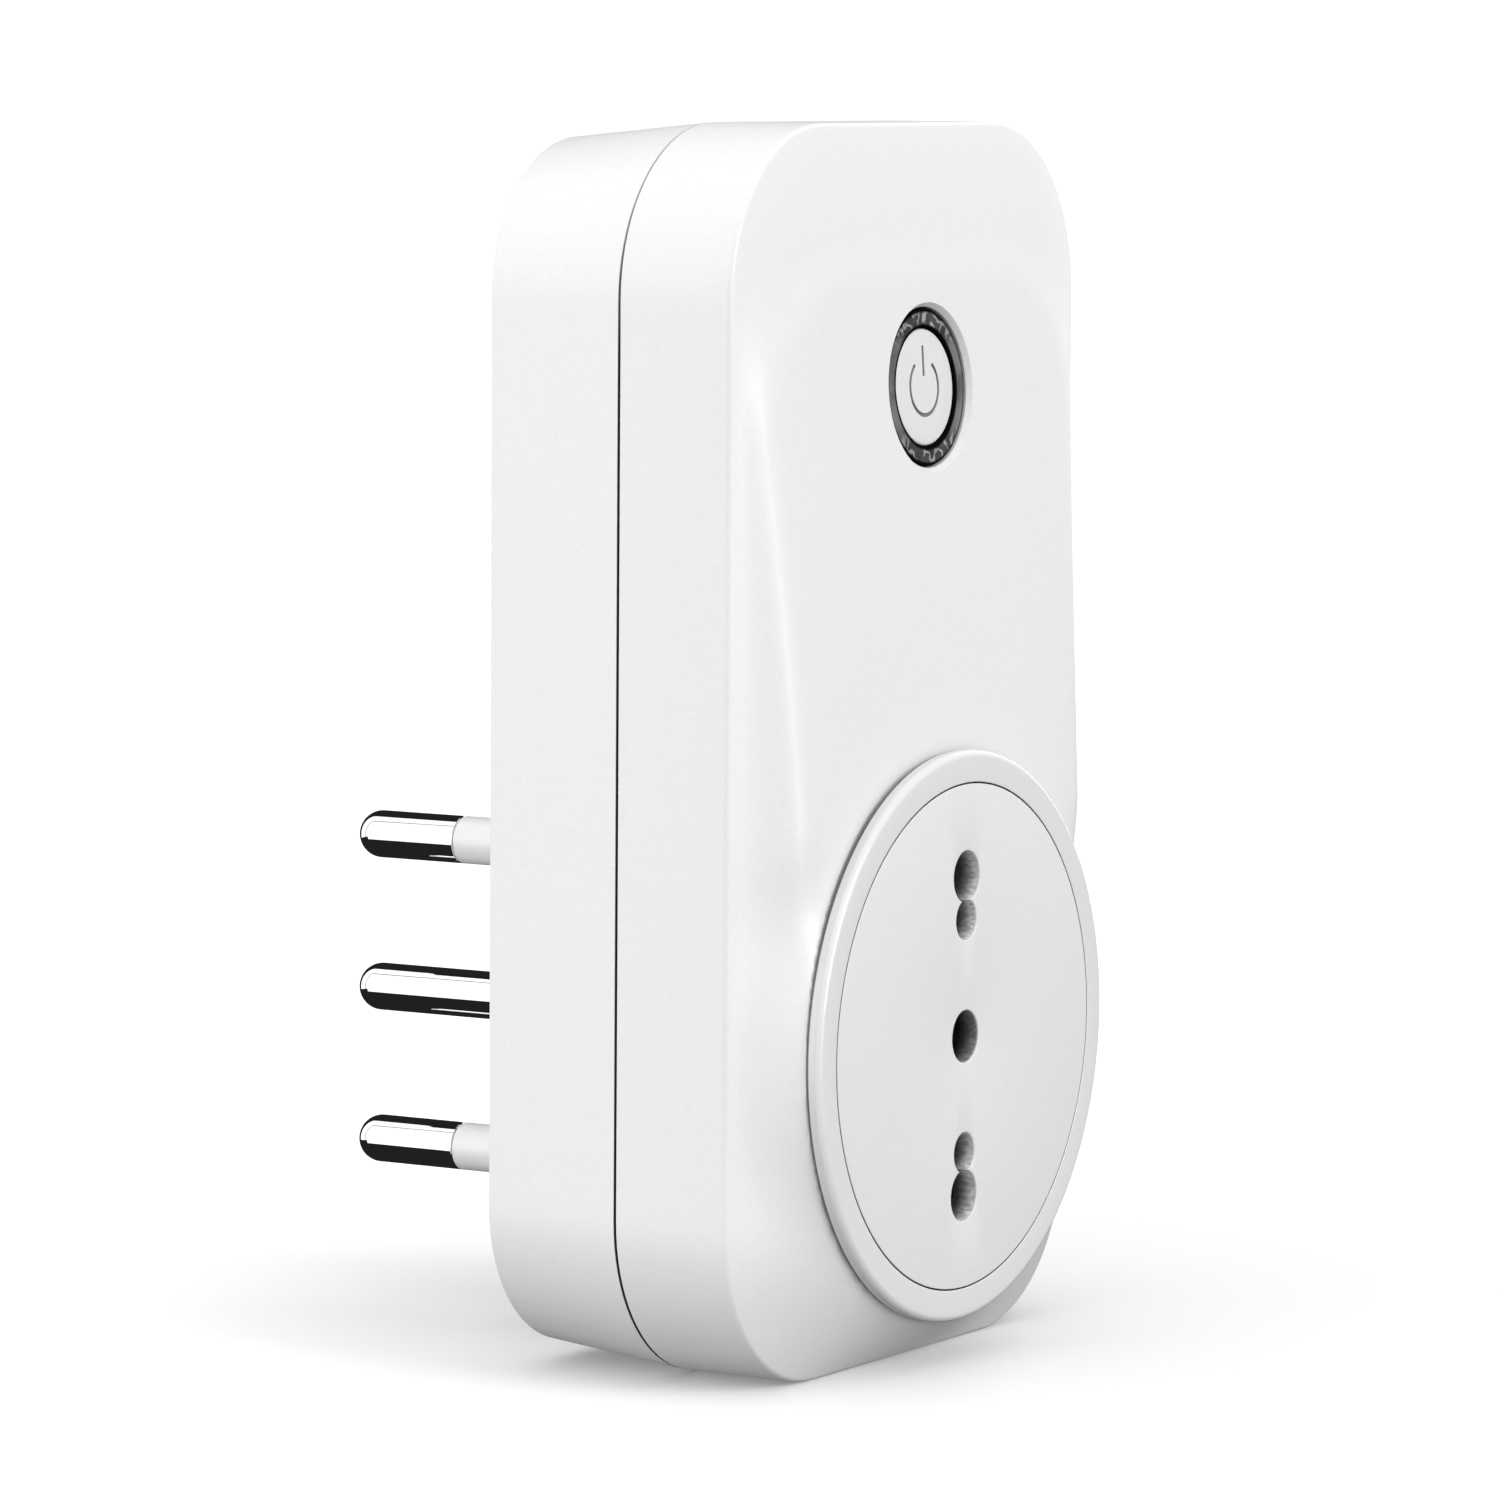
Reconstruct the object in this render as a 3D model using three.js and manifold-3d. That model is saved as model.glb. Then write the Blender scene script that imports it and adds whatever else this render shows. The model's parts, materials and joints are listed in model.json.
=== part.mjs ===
// Smart plug for in-line three-pin sockets: a two-part casing with a raised round outlet, a power button
// with a light ring, three rear pins on a plinth, and the relay, supply and radio boards inside.
// Millimetres. X is to the right seen from the front, -Y faces the user, +Z is up, the base is at z = 0.
// Depths are counted from the seam between the two covers, and the whole is shifted at the end so that
// the origin is the bottom centre of the bounding box.

import * as THREE from "three";
import { mergeVertices } from "three/addons/utils/BufferGeometryUtils.js";
import Module from "manifold-3d";

const wasm = await Module();
wasm.setup();

// Driving dimensions
const GAP = 0.3; // clearance between neighbouring pieces
const WALL = 2.0;

// Casing
const HALF_WIDTH = 27.6;
const HEIGHT = 100.2;
const CORNER_R = 13.8;
const FRONT_DEPTH = 10.1; // seam to the rim of the front face
const REAR_DEPTH = 12.8; // seam to the rear face
const REAR_DRAFT = 1.3; // inset of the rear face's outline
const REAR_ROUND = 0.4;
const RIM_ROUND = 0.35;
const PEDESTAL = 4.7; // rise of the flat that carries the outlet above the rim of the front face
const LEAN = 3.5; // how much lower the middle of the front face is at the top
const LEAN_END = 36; // height where the lean ends
const CROWN = 1.0; // drop of the front face towards its edges
const CROWN_REACH = 13;
const BEVEL_SLOPE = 0.87;
const BEVEL_SLOPE_TOP = 0.6;
const BEVEL_TURN = [44, 84]; // heights between which the bevel's slope changes
const SHOULDER = 0.5; // softness of the edge between the bevel and the face
const SHELL_FLOOR_Y = -8.3; // inner side of the front face, away from the outlet

// Screws: places in x and z, then sizes
const CASING_SCREWS = [
  [-20, 8.5],
  [20, 8.5],
  [-20, 91.7],
  [20, 91.7],
];
const BOARD_SCREWS = [
  [-16.5, 54],
  [16.5, 85],
];
const CASING_SCREW = { shankR: 0.9, headR: 2.1, tipY: -5, seatY: 7.3, headY: 9 };
const BOARD_SCREW = { shankR: 0.8, headR: 1.9, tipY: -6, headHeight: 1.3 };
const BOSS_R = 2.6;
const BOARD_BOSS_R = 2.2;
const REAR_POST_R = 3.4;
const COUNTERBORE_R = 2.5;
const COUNTERBORE_Y = 7;

// Outlet
const SOCKET_Z = 26.65;
const COLLAR_R = 23.2;
const COLLAR_INNER_R = 20.6;
const COLLAR_SKIRT_R = 21.4; // the part of the collar sunk in the cover
const COLLAR_BACK_Y = -12.9;
const COLLAR_LEDGE = 1.2; // ledge behind the outlet's face
const COLLAR_EDGE = 0.45;
const FACE_Y = -16.1; // front of the outlet
const FACE_R = COLLAR_INNER_R - GAP;
const FACE_THICK = 2.2;
const PIN_PITCH = 13; // heavy-duty spacing
const LIGHT_PITCH = 9.5; // light-duty spacing
const HOLE_R = 2.1;
const LIGHT_HOLE_R = 1.65;
const EARTH_HOLE_R = 2.15;

// Safety shutter behind the outer holes, and its spring
const SHUTTER_FRONT = FACE_Y + FACE_THICK + GAP;
const SHUTTER_BACK = -11.5;
const SHUTTER_HALF = 3.4; // half width of a flap
const SHUTTER_BAR = 2; // width of the bar that joins the flaps
const FLAP_HALF = 4.6; // half height of a flap
const FLAP_Z = 11.2; // of a flap's middle from the outlet's axis
const SPRING_TURNS = 5;
const SPRING_R = 0.65;
const SPRING_WIRE_R = 0.15;
const SPRING_Y = (SHUTTER_FRONT + SHUTTER_BACK) / 2;
const SPRING_START = SHUTTER_HALF + SHUTTER_BAR + GAP;
const SPRING_END = 16;

// Contacts in pockets of the housing
const HOUSING_FRONT = SHUTTER_BACK + GAP;
const HOUSING_BACK = 3.2;
const POCKET_HALF = 3;
const OUTER_POCKET = [6.4, 16]; // heights from the outlet's axis
const EARTH_POCKET_HALF = 3.5;
const CLIP_FRONT = -10.6;
const CLIP_BACK = 4.2;
const CLIP_THICK = 0.6;
const STRAP_HALF = 2;
const STRAP_THICK = 0.8;
const LIVE_IN_TOP = 56; // where the live straps meet the board
const LIVE_OUT_TOP = 53;

// Rear pins on their plinth
const PIN_R = 2.0;
const PIN_CORE_R = 1.3;
const PIN_LENGTH = 19;
const SLEEVE_LENGTH = 9.0;
const SLEEVE_INNER_R = 1.6;
const SLEEVE_START = 12;
const PLINTH_HALF = 9; // half width
const PLINTH_REACH = 22; // half height
const PLINTH_DEPTH = 10.8;
const PLINTH_Y = REAR_DEPTH + PLINTH_DEPTH;
const TIP_Y = PLINTH_Y + PIN_LENGTH;
const HEAD_R = 3.2;
const HEAD_Y = 8.1;
const HEAD_THICK = 1.2;
const CARRIER_Y = HEAD_Y + HEAD_THICK + 0.4;

// Button, light ring and switch
const BUTTON_Z = 79;
const BUTTON_R = 4.5;
const BUTTON_Y = -11.55;
const BUTTON_BACK = -6.3;
const BUTTON_FLANGE = [5.6, 0.6]; // radius and thickness
const RING_Y = -11.85;
const RING_BACK = -7.2;
const RING_INNER_R = BUTTON_R + GAP;
const RING_R = 6.3;
const RING_FLANGE = [8, 0.8];
const LEAN_FROM_Y = -9.5; // the button and the ring lean in front of this depth
const SWITCH_HALF = 3;
const SWITCH_Y = -5.3;
const PLUNGER_R = 1.6;
const PLUNGER = [BUTTON_BACK + GAP, -4.6];
const LED_X = 5.8;

// Boards
const BOARD_Y = -2.0; // front face of the main board
const BOARD_THICK = 1.6;
const BOARD_BACK = BOARD_Y + BOARD_THICK;
const PART_Y = BOARD_BACK + GAP; // where the parts on the board's back begin
const BOARD = { x0: -20, x1: 20, z0: 50, z1: 88.4 };

// Parts on the board's back: places in x and z, and how high they stand
const TRANSFORMER = { x: [8.6, 18], z: [61, 75], height: 8.6, wall: 0.8, leg: 2.2, bridge: 1.4 };
const FILTER_CAPACITOR = { x: [8.5, 19], z: [53, 57.6], height: 7 };
const VARISTOR = { x: [-10.5, -3.5], z: [51.2, 54], height: 7 };
const SUPPLY_CHIP = { x: [11, 16], z: [77, 81], height: 1.6 };
const RADIO_BOARD = { x: [-19.4, -18.4], z: [69.5, 86.5], height: 10 };
const RADIO_SHIELD = { x: [-18.1, -15.9], z: [79.5, 86], height: 8.6, foot: 1 };
const INPUT_CAPACITOR = { x: -14, z: 65.5, radius: 4, height: 9.5 };
const OUTPUT_CAPACITOR = { x: -14, z: 75, radius: 3.2, height: 8 };
const FUSE_RESISTOR = { x: -15.5, z: 57.6, radius: 1.6, height: 8 };

// Relay
const RELAY = { x0: -6, x1: 6, z0: 60, z1: 88, back: 10.3 };
const RELAY_WALL = 0.8;
const COIL_Y = 4.4;
const COIL = { low: 66, high: 81, coreR: 1.9, flangeR: 2.3 };
const YOKE_Y = COIL_Y + COIL.flangeR + 0.6;
const ARMATURE_Z = 82.6;

// Materials
const material = (color, roughness, metalness = 0) =>
  new THREE.MeshStandardMaterial({ color, roughness, metalness });
const WHITE = [0xf3f3f3, 0.5];
const OUTLET_WHITE = [0xe8e8e8, 0.55];
const SMOKE = [0x3a3a3c, 0.15];
const SHUTTER_GREY = [0xb9b9b9, 0.5];
const NICKEL = [0xc9c9cc, 0.12, 1];
const BRASS = [0xc9a24e, 0.3, 1];
const STEEL = [0x9a9da1, 0.35, 1];
const BOARD_GREEN = [0x1f5c3a, 0.5];
const DARK_PLASTIC = [0x202226, 0.45];
const FERRITE = [0x3b3c40, 0.6];
const COPPER = [0xb5652d, 0.35, 1];
const TIN = [0xc4c7c9, 0.3, 1];
const YELLOW_TAPE = [0xd9b52f, 0.5];
const BLUE_CERAMIC = [0x2f5fa8, 0.45];
const CAN_BLACK = [0x1b1f2a, 0.35];

const product = new THREE.Group();

function add(name, geometry, finish) {
  const mesh = new THREE.Mesh(geometry, material(...finish));
  mesh.name = name;
  product.add(mesh);
}

// Solid helpers
function bare(geometry) {
  const copy = geometry.clone();
  copy.deleteAttribute("normal");
  copy.deleteAttribute("uv");
  return mergeVertices(copy, 1e-4);
}

function solid(geometry) {
  const merged = bare(geometry);
  return new wasm.Manifold(
    new wasm.Mesh({
      numProp: 3,
      vertProperties: new Float32Array(merged.attributes.position.array),
      triVerts: new Uint32Array(merged.index.array),
    }),
  );
}

function geometryOf(body) {
  const mesh = body.getMesh();
  const geometry = new THREE.BufferGeometry();
  geometry.setAttribute("position", new THREE.BufferAttribute(mesh.vertProperties, 3));
  geometry.setIndex(new THREE.BufferAttribute(mesh.triVerts, 1));
  return geometry;
}

function carve(base, cuts) {
  return geometryOf(cuts.reduce((body, cut) => body.subtract(solid(cut)), solid(base)));
}

function join(pieces) {
  return geometryOf(pieces.slice(1).reduce((body, piece) => body.add(solid(piece)), solid(pieces[0])));
}

function box(x0, x1, y0, y1, z0, z1) {
  const geometry = new THREE.BoxGeometry(x1 - x0, y1 - y0, z1 - z0);
  return geometry.translate((x0 + x1) / 2, (y0 + y1) / 2, (z0 + z1) / 2);
}

// A round bar along Y
function rod(x, z, radius, y0, y1, sides = 24) {
  const geometry = new THREE.CylinderGeometry(radius, radius, y1 - y0, sides);
  return geometry.translate(x, (y0 + y1) / 2, z);
}

// A turned piece about a line along Y: points are [radius, y], from the lower to the higher y
function turned(x, z, points, sides = 32) {
  const profile = points.map(([radius, y]) => new THREE.Vector2(radius, y));
  return new THREE.LatheGeometry(profile, sides).translate(x, 0, z);
}

// A closed ring section about a line along Y
function ring(x, z, inner, outer, y0, y1, sides = 32) {
  const section = [
    [inner, y0],
    [outer, y0],
    [outer, y1],
    [inner, y1],
    [inner, y0],
  ];
  return turned(x, z, section, sides);
}

// An outline in X and Z, given a depth along Y
function slab(shape, y0, y1, curveSegments = 12) {
  const geometry = new THREE.ExtrudeGeometry(shape, { depth: y1 - y0, bevelEnabled: false, curveSegments });
  return geometry.rotateX(Math.PI / 2).translate(0, y1, 0);
}

// An outline in Y and Z, given a width along X
function strip(points, x0, x1) {
  const shape = new THREE.Shape(points.map(([y, z]) => new THREE.Vector2(y, z)));
  const geometry = new THREE.ExtrudeGeometry(shape, { depth: x1 - x0, bevelEnabled: false });
  const axes = new THREE.Matrix4().makeBasis(
    new THREE.Vector3(0, 1, 0),
    new THREE.Vector3(0, 0, 1),
    new THREE.Vector3(1, 0, 0),
  );
  return geometry.applyMatrix4(axes).translate(x0, 0, 0);
}

// An outline in X and Y, given a height along Z
function post(points, z0, z1) {
  const shape = new THREE.Shape(points.map(([x, y]) => new THREE.Vector2(x, y)));
  return new THREE.ExtrudeGeometry(shape, { depth: z1 - z0, bevelEnabled: false }).translate(0, 0, z0);
}

function stadium(halfWidth, halfLength, z) {
  const shape = new THREE.Shape();
  const reach = halfLength - halfWidth;
  shape.absarc(0, z + reach, halfWidth, 0, Math.PI, false);
  shape.absarc(0, z - reach, halfWidth, Math.PI, 2 * Math.PI, false);
  shape.closePath();
  return shape;
}

function roundedPlate(x0, x1, z0, z1, radius) {
  const shape = new THREE.Shape();
  shape.absarc(x1 - radius, z0 + radius, radius, -Math.PI / 2, 0, false);
  shape.absarc(x1 - radius, z1 - radius, radius, 0, Math.PI / 2, false);
  shape.absarc(x0 + radius, z1 - radius, radius, Math.PI / 2, Math.PI, false);
  shape.absarc(x0 + radius, z0 + radius, radius, Math.PI, 1.5 * Math.PI, false);
  shape.closePath();
  return shape;
}

// The casing's outline, inset from the seam line: the right half from the bottom to the top, then its mirror
const CORNER_STEPS = 7;
const SIDE_STEPS = 12;
const END_STEPS = 3;

function casingLoop(inset) {
  const half = HALF_WIDTH - inset;
  const radius = Math.max(CORNER_R - inset, 0.5);
  const low = inset + radius;
  const high = HEIGHT - inset - radius;
  const right = [];
  for (let i = 1; i < END_STEPS; i++) {
    right.push([((half - radius) * i) / END_STEPS, inset]);
  }
  for (let i = 0; i <= CORNER_STEPS; i++) {
    const angle = (Math.PI / 2) * (i / CORNER_STEPS - 1);
    right.push([half - radius + radius * Math.cos(angle), low + radius * Math.sin(angle)]);
  }
  for (let i = 1; i < SIDE_STEPS; i++) {
    right.push([half, low + ((high - low) * i) / SIDE_STEPS]);
  }
  for (let i = 0; i <= CORNER_STEPS; i++) {
    const angle = (Math.PI / 2) * (i / CORNER_STEPS);
    right.push([half - radius + radius * Math.cos(angle), high + radius * Math.sin(angle)]);
  }
  for (let i = END_STEPS - 1; i > 0; i--) {
    right.push([((half - radius) * i) / END_STEPS, HEIGHT - inset]);
  }
  const left = right.map(([x, z]) => [-x, z]).reverse();
  return [...right, ...left];
}

// A closed body through loops of points, with its two ends filled across from right to left
function loft(loops) {
  const count = loops[0].length;
  const positions = loops.flat(2);
  const faces = [];
  for (let k = 0; k + 1 < loops.length; k++) {
    for (let i = 0; i < count; i++) {
      const a = k * count + i;
      const b = k * count + ((i + 1) % count);
      faces.push(a, b, b + count, a, b + count, a + count);
    }
  }
  const last = (loops.length - 1) * count;
  for (let i = 0; i + 1 < count / 2; i++) {
    const j = count - 1 - i;
    faces.push(i, j, i + 1);
    faces.push(last + i, last + i + 1, last + j);
    if (i + 2 < count / 2 + 1) {
      faces.push(i + 1, j, j - 1);
      faces.push(last + i + 1, last + j - 1, last + j);
    }
  }
  const geometry = new THREE.BufferGeometry();
  geometry.setAttribute("position", new THREE.Float32BufferAttribute(positions, 3));
  geometry.setIndex(faces);
  return geometry;
}

function casingLoft(stations) {
  return loft(stations.map(([inset, y]) => casingLoop(inset).map(([x, z]) => [x, y, z])));
}

// How far inside the casing's outline a place is
function rimDistance(x, z) {
  const dx = Math.abs(x) - (HALF_WIDTH - CORNER_R);
  const dz = Math.abs(z - HEIGHT / 2) - (HEIGHT / 2 - CORNER_R);
  const outside = Math.hypot(Math.max(dx, 0), Math.max(dz, 0));
  return CORNER_R - outside - Math.min(Math.max(dx, dz), 0);
}

function smoothMin(a, b, width) {
  const h = THREE.MathUtils.clamp(0.5 + (0.5 * (b - a)) / width, 0, 1);
  return THREE.MathUtils.lerp(b, a, h) - width * h * (1 - h);
}

// Rise of the middle of the front face above its rim: an S-curve from the top down to the pedestal
function leanRise(z) {
  const t = THREE.MathUtils.clamp((z - LEAN_END) / (HEIGHT - LEAN_END), 0, 1);
  return PEDESTAL - (LEAN * (t + THREE.MathUtils.smoothstep(t, 0, 1))) / 2;
}

// How far the front face stands above its rim at a place: a bevel, then a crowned field
function frontRise(x, z) {
  const inset = rimDistance(x, z);
  const field = leanRise(z) - CROWN * (1 - Math.min(inset / CROWN_REACH, 1)) ** 2;
  const turn = THREE.MathUtils.smoothstep(z, ...BEVEL_TURN);
  const bevel = THREE.MathUtils.lerp(BEVEL_SLOPE, BEVEL_SLOPE_TOP, turn) * inset;
  const tongue = smoothMin(bevel, field, Math.min(SHOULDER, field / 2));
  const beyond = Math.max(Math.hypot(x, z - SOCKET_Z) - COLLAR_R, 0);
  const skirt = (PEDESTAL * inset) / (inset + beyond + 1e-6);
  const mix = THREE.MathUtils.smoothstep(z, SOCKET_Z + 4, SOCKET_Z + 18);
  return Math.max(THREE.MathUtils.lerp(skirt, tongue, mix), 0);
}

// Tilts the outer part of a piece on the button's axis as the front face leans there
function leanBack(geometry) {
  const tilt = (leanRise(BUTTON_Z - 1) - leanRise(BUTTON_Z + 1)) / 2;
  const points = geometry.attributes.position;
  for (let i = 0; i < points.count; i++) {
    if (points.getY(i) < LEAN_FROM_Y) {
      points.setY(i, points.getY(i) + tilt * (points.getZ(i) - BUTTON_Z));
    }
  }
  return geometry;
}

// Casing
function frontCover() {
  const insets = [RIM_ROUND, 1.2, 2.4, 3.8, 5.4, 7.6, 11, 16, 23];
  const side = casingLoop(0).map(([x, z]) => [x, 0, z]);
  const rim = casingLoop(0).map(([x, z]) => [x, RIM_ROUND - FRONT_DEPTH, z]);
  const face = insets.map((inset) =>
    casingLoop(inset).map(([x, z]) => [x, -FRONT_DEPTH - frontRise(x, z), z]),
  );
  const outer = loft([side, rim, ...face]);
  const cavity = casingLoft([
    [WALL, 1],
    [WALL, SHELL_FLOOR_Y],
  ]);
  const outletHole = rod(0, SOCKET_Z, COLLAR_SKIRT_R + GAP, 2 * FACE_Y, 0, 48);
  const buttonHole = rod(0, BUTTON_Z, RING_R + GAP, 2 * FACE_Y, 0, 32);
  const shell = carve(outer, [cavity, outletHole, buttonHole]);
  const root = SHELL_FLOOR_Y - GAP;
  const bosses = CASING_SCREWS.map(([x, z]) => rod(x, z, BOSS_R, root, -GAP, 16));
  const boardBosses = BOARD_SCREWS.map(([x, z]) => rod(x, z, BOARD_BOSS_R, root, BOARD_Y - GAP, 16));
  const casingHoles = CASING_SCREWS.map(([x, z]) =>
    rod(x, z, CASING_SCREW.shankR + GAP, CASING_SCREW.tipY - 2, 2, 12),
  );
  const boardHoles = BOARD_SCREWS.map(([x, z]) =>
    rod(x, z, BOARD_SCREW.shankR + GAP, BOARD_SCREW.tipY - 1.5, 2, 12),
  );
  return carve(join([shell, ...bosses, ...boardBosses]), [...casingHoles, ...boardHoles]);
}

function rearCover() {
  const outer = casingLoft([
    [REAR_DRAFT + REAR_ROUND, REAR_DEPTH],
    [REAR_DRAFT + 0.35 * REAR_ROUND - 0.05, REAR_DEPTH - 0.35 * REAR_ROUND],
    [REAR_DRAFT - 0.1, REAR_DEPTH - REAR_ROUND],
    [0, 0],
  ]);
  const cavity = casingLoft([
    [WALL + REAR_DRAFT, REAR_DEPTH - WALL],
    [WALL, -1],
  ]);
  const plinth = slab(stadium(PLINTH_HALF, PLINTH_REACH, SOCKET_Z), REAR_DEPTH - 1, PLINTH_Y, 10);
  const room = stadium(PLINTH_HALF - WALL, PLINTH_REACH - WALL, SOCKET_Z);
  const plinthRoom = slab(room, HEAD_Y, PLINTH_Y - WALL, 10);
  const pinHoles = [-1, 0, 1].map((i) => rod(0, SOCKET_Z + i * PIN_PITCH, PIN_R + GAP, HEAD_Y, TIP_Y));
  const posts = CASING_SCREWS.map(([x, z]) => rod(x, z, REAR_POST_R, GAP, REAR_DEPTH - 0.6, 16));
  const screwHoles = CASING_SCREWS.map(([x, z]) =>
    rod(x, z, CASING_SCREW.shankR + GAP, -1, REAR_DEPTH + 1, 12),
  );
  const counterbores = CASING_SCREWS.map(([x, z]) =>
    rod(x, z, COUNTERBORE_R, COUNTERBORE_Y, REAR_DEPTH + 1, 16),
  );
  const shell = carve(join([outer, plinth]), [cavity, plinthRoom]);
  return carve(join([shell, ...posts]), [...pinHoles, ...screwHoles, ...counterbores]);
}

function casing() {
  add("front_cover", frontCover(), WHITE);
  add("rear_cover", rearCover(), WHITE);
  const { shankR, headR, tipY, seatY, headY } = CASING_SCREW;
  const profile = [
    [0, tipY],
    [shankR, tipY + 0.6],
    [shankR, seatY],
    [headR, seatY],
    [headR, headY - 0.6],
    [headR - 0.6, headY],
    [0, headY],
  ];
  CASING_SCREWS.forEach(([x, z], i) => add(`casing_screw_${i + 1}`, turned(x, z, profile, 12), STEEL));
}

// Outlet
function outletHoles(y0, y1) {
  const holes = [rod(0, SOCKET_Z, EARTH_HOLE_R, y0, y1)];
  for (const side of [-1, 1]) {
    holes.push(rod(0, SOCKET_Z + side * PIN_PITCH, HOLE_R, y0, y1));
    holes.push(rod(0, SOCKET_Z + side * LIGHT_PITCH, LIGHT_HOLE_R, y0, y1));
  }
  return holes;
}

const POCKETS = [
  [SOCKET_Z - OUTER_POCKET[1], SOCKET_Z - OUTER_POCKET[0]],
  [SOCKET_Z - EARTH_POCKET_HALF, SOCKET_Z + EARTH_POCKET_HALF],
  [SOCKET_Z + OUTER_POCKET[0], SOCKET_Z + OUTER_POCKET[1]],
];

function socketCollar() {
  const seat = -FRONT_DEPTH - PEDESTAL - GAP;
  const ledge = FACE_Y + FACE_THICK + GAP;
  return turned(
    0,
    SOCKET_Z,
    [
      [COLLAR_INNER_R, FACE_Y],
      [COLLAR_R - COLLAR_EDGE, FACE_Y],
      [COLLAR_R, FACE_Y + COLLAR_EDGE],
      [COLLAR_R, seat],
      [COLLAR_SKIRT_R, seat],
      [COLLAR_SKIRT_R, COLLAR_BACK_Y],
      [COLLAR_INNER_R - COLLAR_LEDGE, COLLAR_BACK_Y],
      [COLLAR_INNER_R - COLLAR_LEDGE, ledge],
      [COLLAR_INNER_R, ledge],
      [COLLAR_INNER_R, FACE_Y],
    ],
    64,
  );
}

// Two flaps with ramps that an entering pin pushes aside, joined by a bar
function safetyShutter() {
  const ramp = [
    [-SHUTTER_HALF, SHUTTER_BACK],
    [-SHUTTER_HALF, SHUTTER_BACK - 0.5],
    [1.2, SHUTTER_FRONT],
    [SHUTTER_HALF, SHUTTER_FRONT],
    [SHUTTER_HALF, SHUTTER_BACK],
  ];
  const flaps = [1, -1].map((side) => {
    const z = SOCKET_Z + side * FLAP_Z;
    return post(ramp, z - FLAP_HALF, z + FLAP_HALF);
  });
  const reach = FLAP_Z + FLAP_HALF;
  const bar = box(
    SHUTTER_HALF - 0.4,
    SHUTTER_HALF + SHUTTER_BAR,
    SHUTTER_FRONT,
    SHUTTER_BACK,
    SOCKET_Z - reach,
    SOCKET_Z + reach,
  );
  return join([bar, ...flaps]);
}

// A coil spring along X, pressing the shutter back
class SpringPath extends THREE.Curve {
  getPoint(t, target = new THREE.Vector3()) {
    const angle = 2 * Math.PI * SPRING_TURNS * t;
    const along = SPRING_START + (SPRING_END - SPRING_START) * t;
    return target.set(
      along,
      SPRING_Y + SPRING_R * Math.cos(angle),
      SOCKET_Z + SPRING_R * Math.sin(angle),
    );
  }
}

function shutterSpring() {
  const section = new THREE.Shape();
  section.absarc(0, 0, SPRING_WIRE_R, 0, 2 * Math.PI, false);
  return new THREE.ExtrudeGeometry(section, {
    steps: 12 * SPRING_TURNS,
    curveSegments: 3,
    bevelEnabled: false,
    extrudePath: new SpringPath(),
  });
}

// A spring clip with two jaws for a pin
function contactClip(z0, z1) {
  const reach = POCKET_HALF - GAP - 0.1;
  const inner = reach - CLIP_THICK;
  const outline = [
    [-reach, CLIP_FRONT],
    [-inner, CLIP_FRONT],
    [-inner, CLIP_BACK - CLIP_THICK],
    [inner, CLIP_BACK - CLIP_THICK],
    [inner, CLIP_FRONT],
    [reach, CLIP_FRONT],
    [reach, CLIP_BACK],
    [-reach, CLIP_BACK],
  ];
  return post(outline, z0 + GAP + 0.2, z1 - GAP - 0.2);
}

function outlet() {
  add("socket_collar", socketCollar(), OUTLET_WHITE);
  const plate = turned(
    0,
    SOCKET_Z,
    [
      [0, FACE_Y],
      [FACE_R, FACE_Y],
      [FACE_R, FACE_Y + FACE_THICK],
      [0, FACE_Y + FACE_THICK],
    ],
    64,
  );
  add("socket_face", carve(plate, outletHoles(FACE_Y - 1, SHUTTER_FRONT)), OUTLET_WHITE);
  add("safety_shutter", safetyShutter(), SHUTTER_GREY);
  add("shutter_spring", shutterSpring(), STEEL);
  const housing = rod(0, SOCKET_Z, COLLAR_SKIRT_R - 2, HOUSING_FRONT, HOUSING_BACK, 40);
  const pockets = POCKETS.map(([z0, z1]) =>
    box(-POCKET_HALF, POCKET_HALF, HOUSING_FRONT - 1, HOUSING_BACK + 1, z0, z1),
  );
  add("contact_housing", carve(housing, pockets), DARK_PLASTIC);
  const names = ["neutral_contact", "earth_contact", "live_contact"];
  POCKETS.forEach(([z0, z1], i) => add(names[i], contactClip(z0, z1), BRASS));
}

// Rear pins: each starts with a flat head behind the carrier
const PIN_HEAD = [
  [0, HEAD_Y],
  [HEAD_R, HEAD_Y],
  [HEAD_R, HEAD_Y + HEAD_THICK],
];

function sleevedPin(z) {
  const shoulder = PLINTH_Y + SLEEVE_LENGTH;
  const core = [
    [PIN_CORE_R, HEAD_Y + HEAD_THICK],
    [PIN_CORE_R, shoulder],
  ];
  return turned(0, z, [...PIN_HEAD, ...core, ...pinEnd(shoulder)], 24);
}

function earthPin(z) {
  return turned(0, z, [...PIN_HEAD, ...pinEnd(HEAD_Y + HEAD_THICK)], 24);
}

// The bare part of a pin from a shoulder to its round tip
function pinEnd(shoulder) {
  const points = [[PIN_R, shoulder]];
  for (let i = 0; i <= 6; i++) {
    const angle = (Math.PI / 2) * (i / 6);
    points.push([i < 6 ? PIN_R * Math.cos(angle) : 0, TIP_Y - PIN_R + PIN_R * Math.sin(angle)]);
  }
  return points;
}

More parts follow.
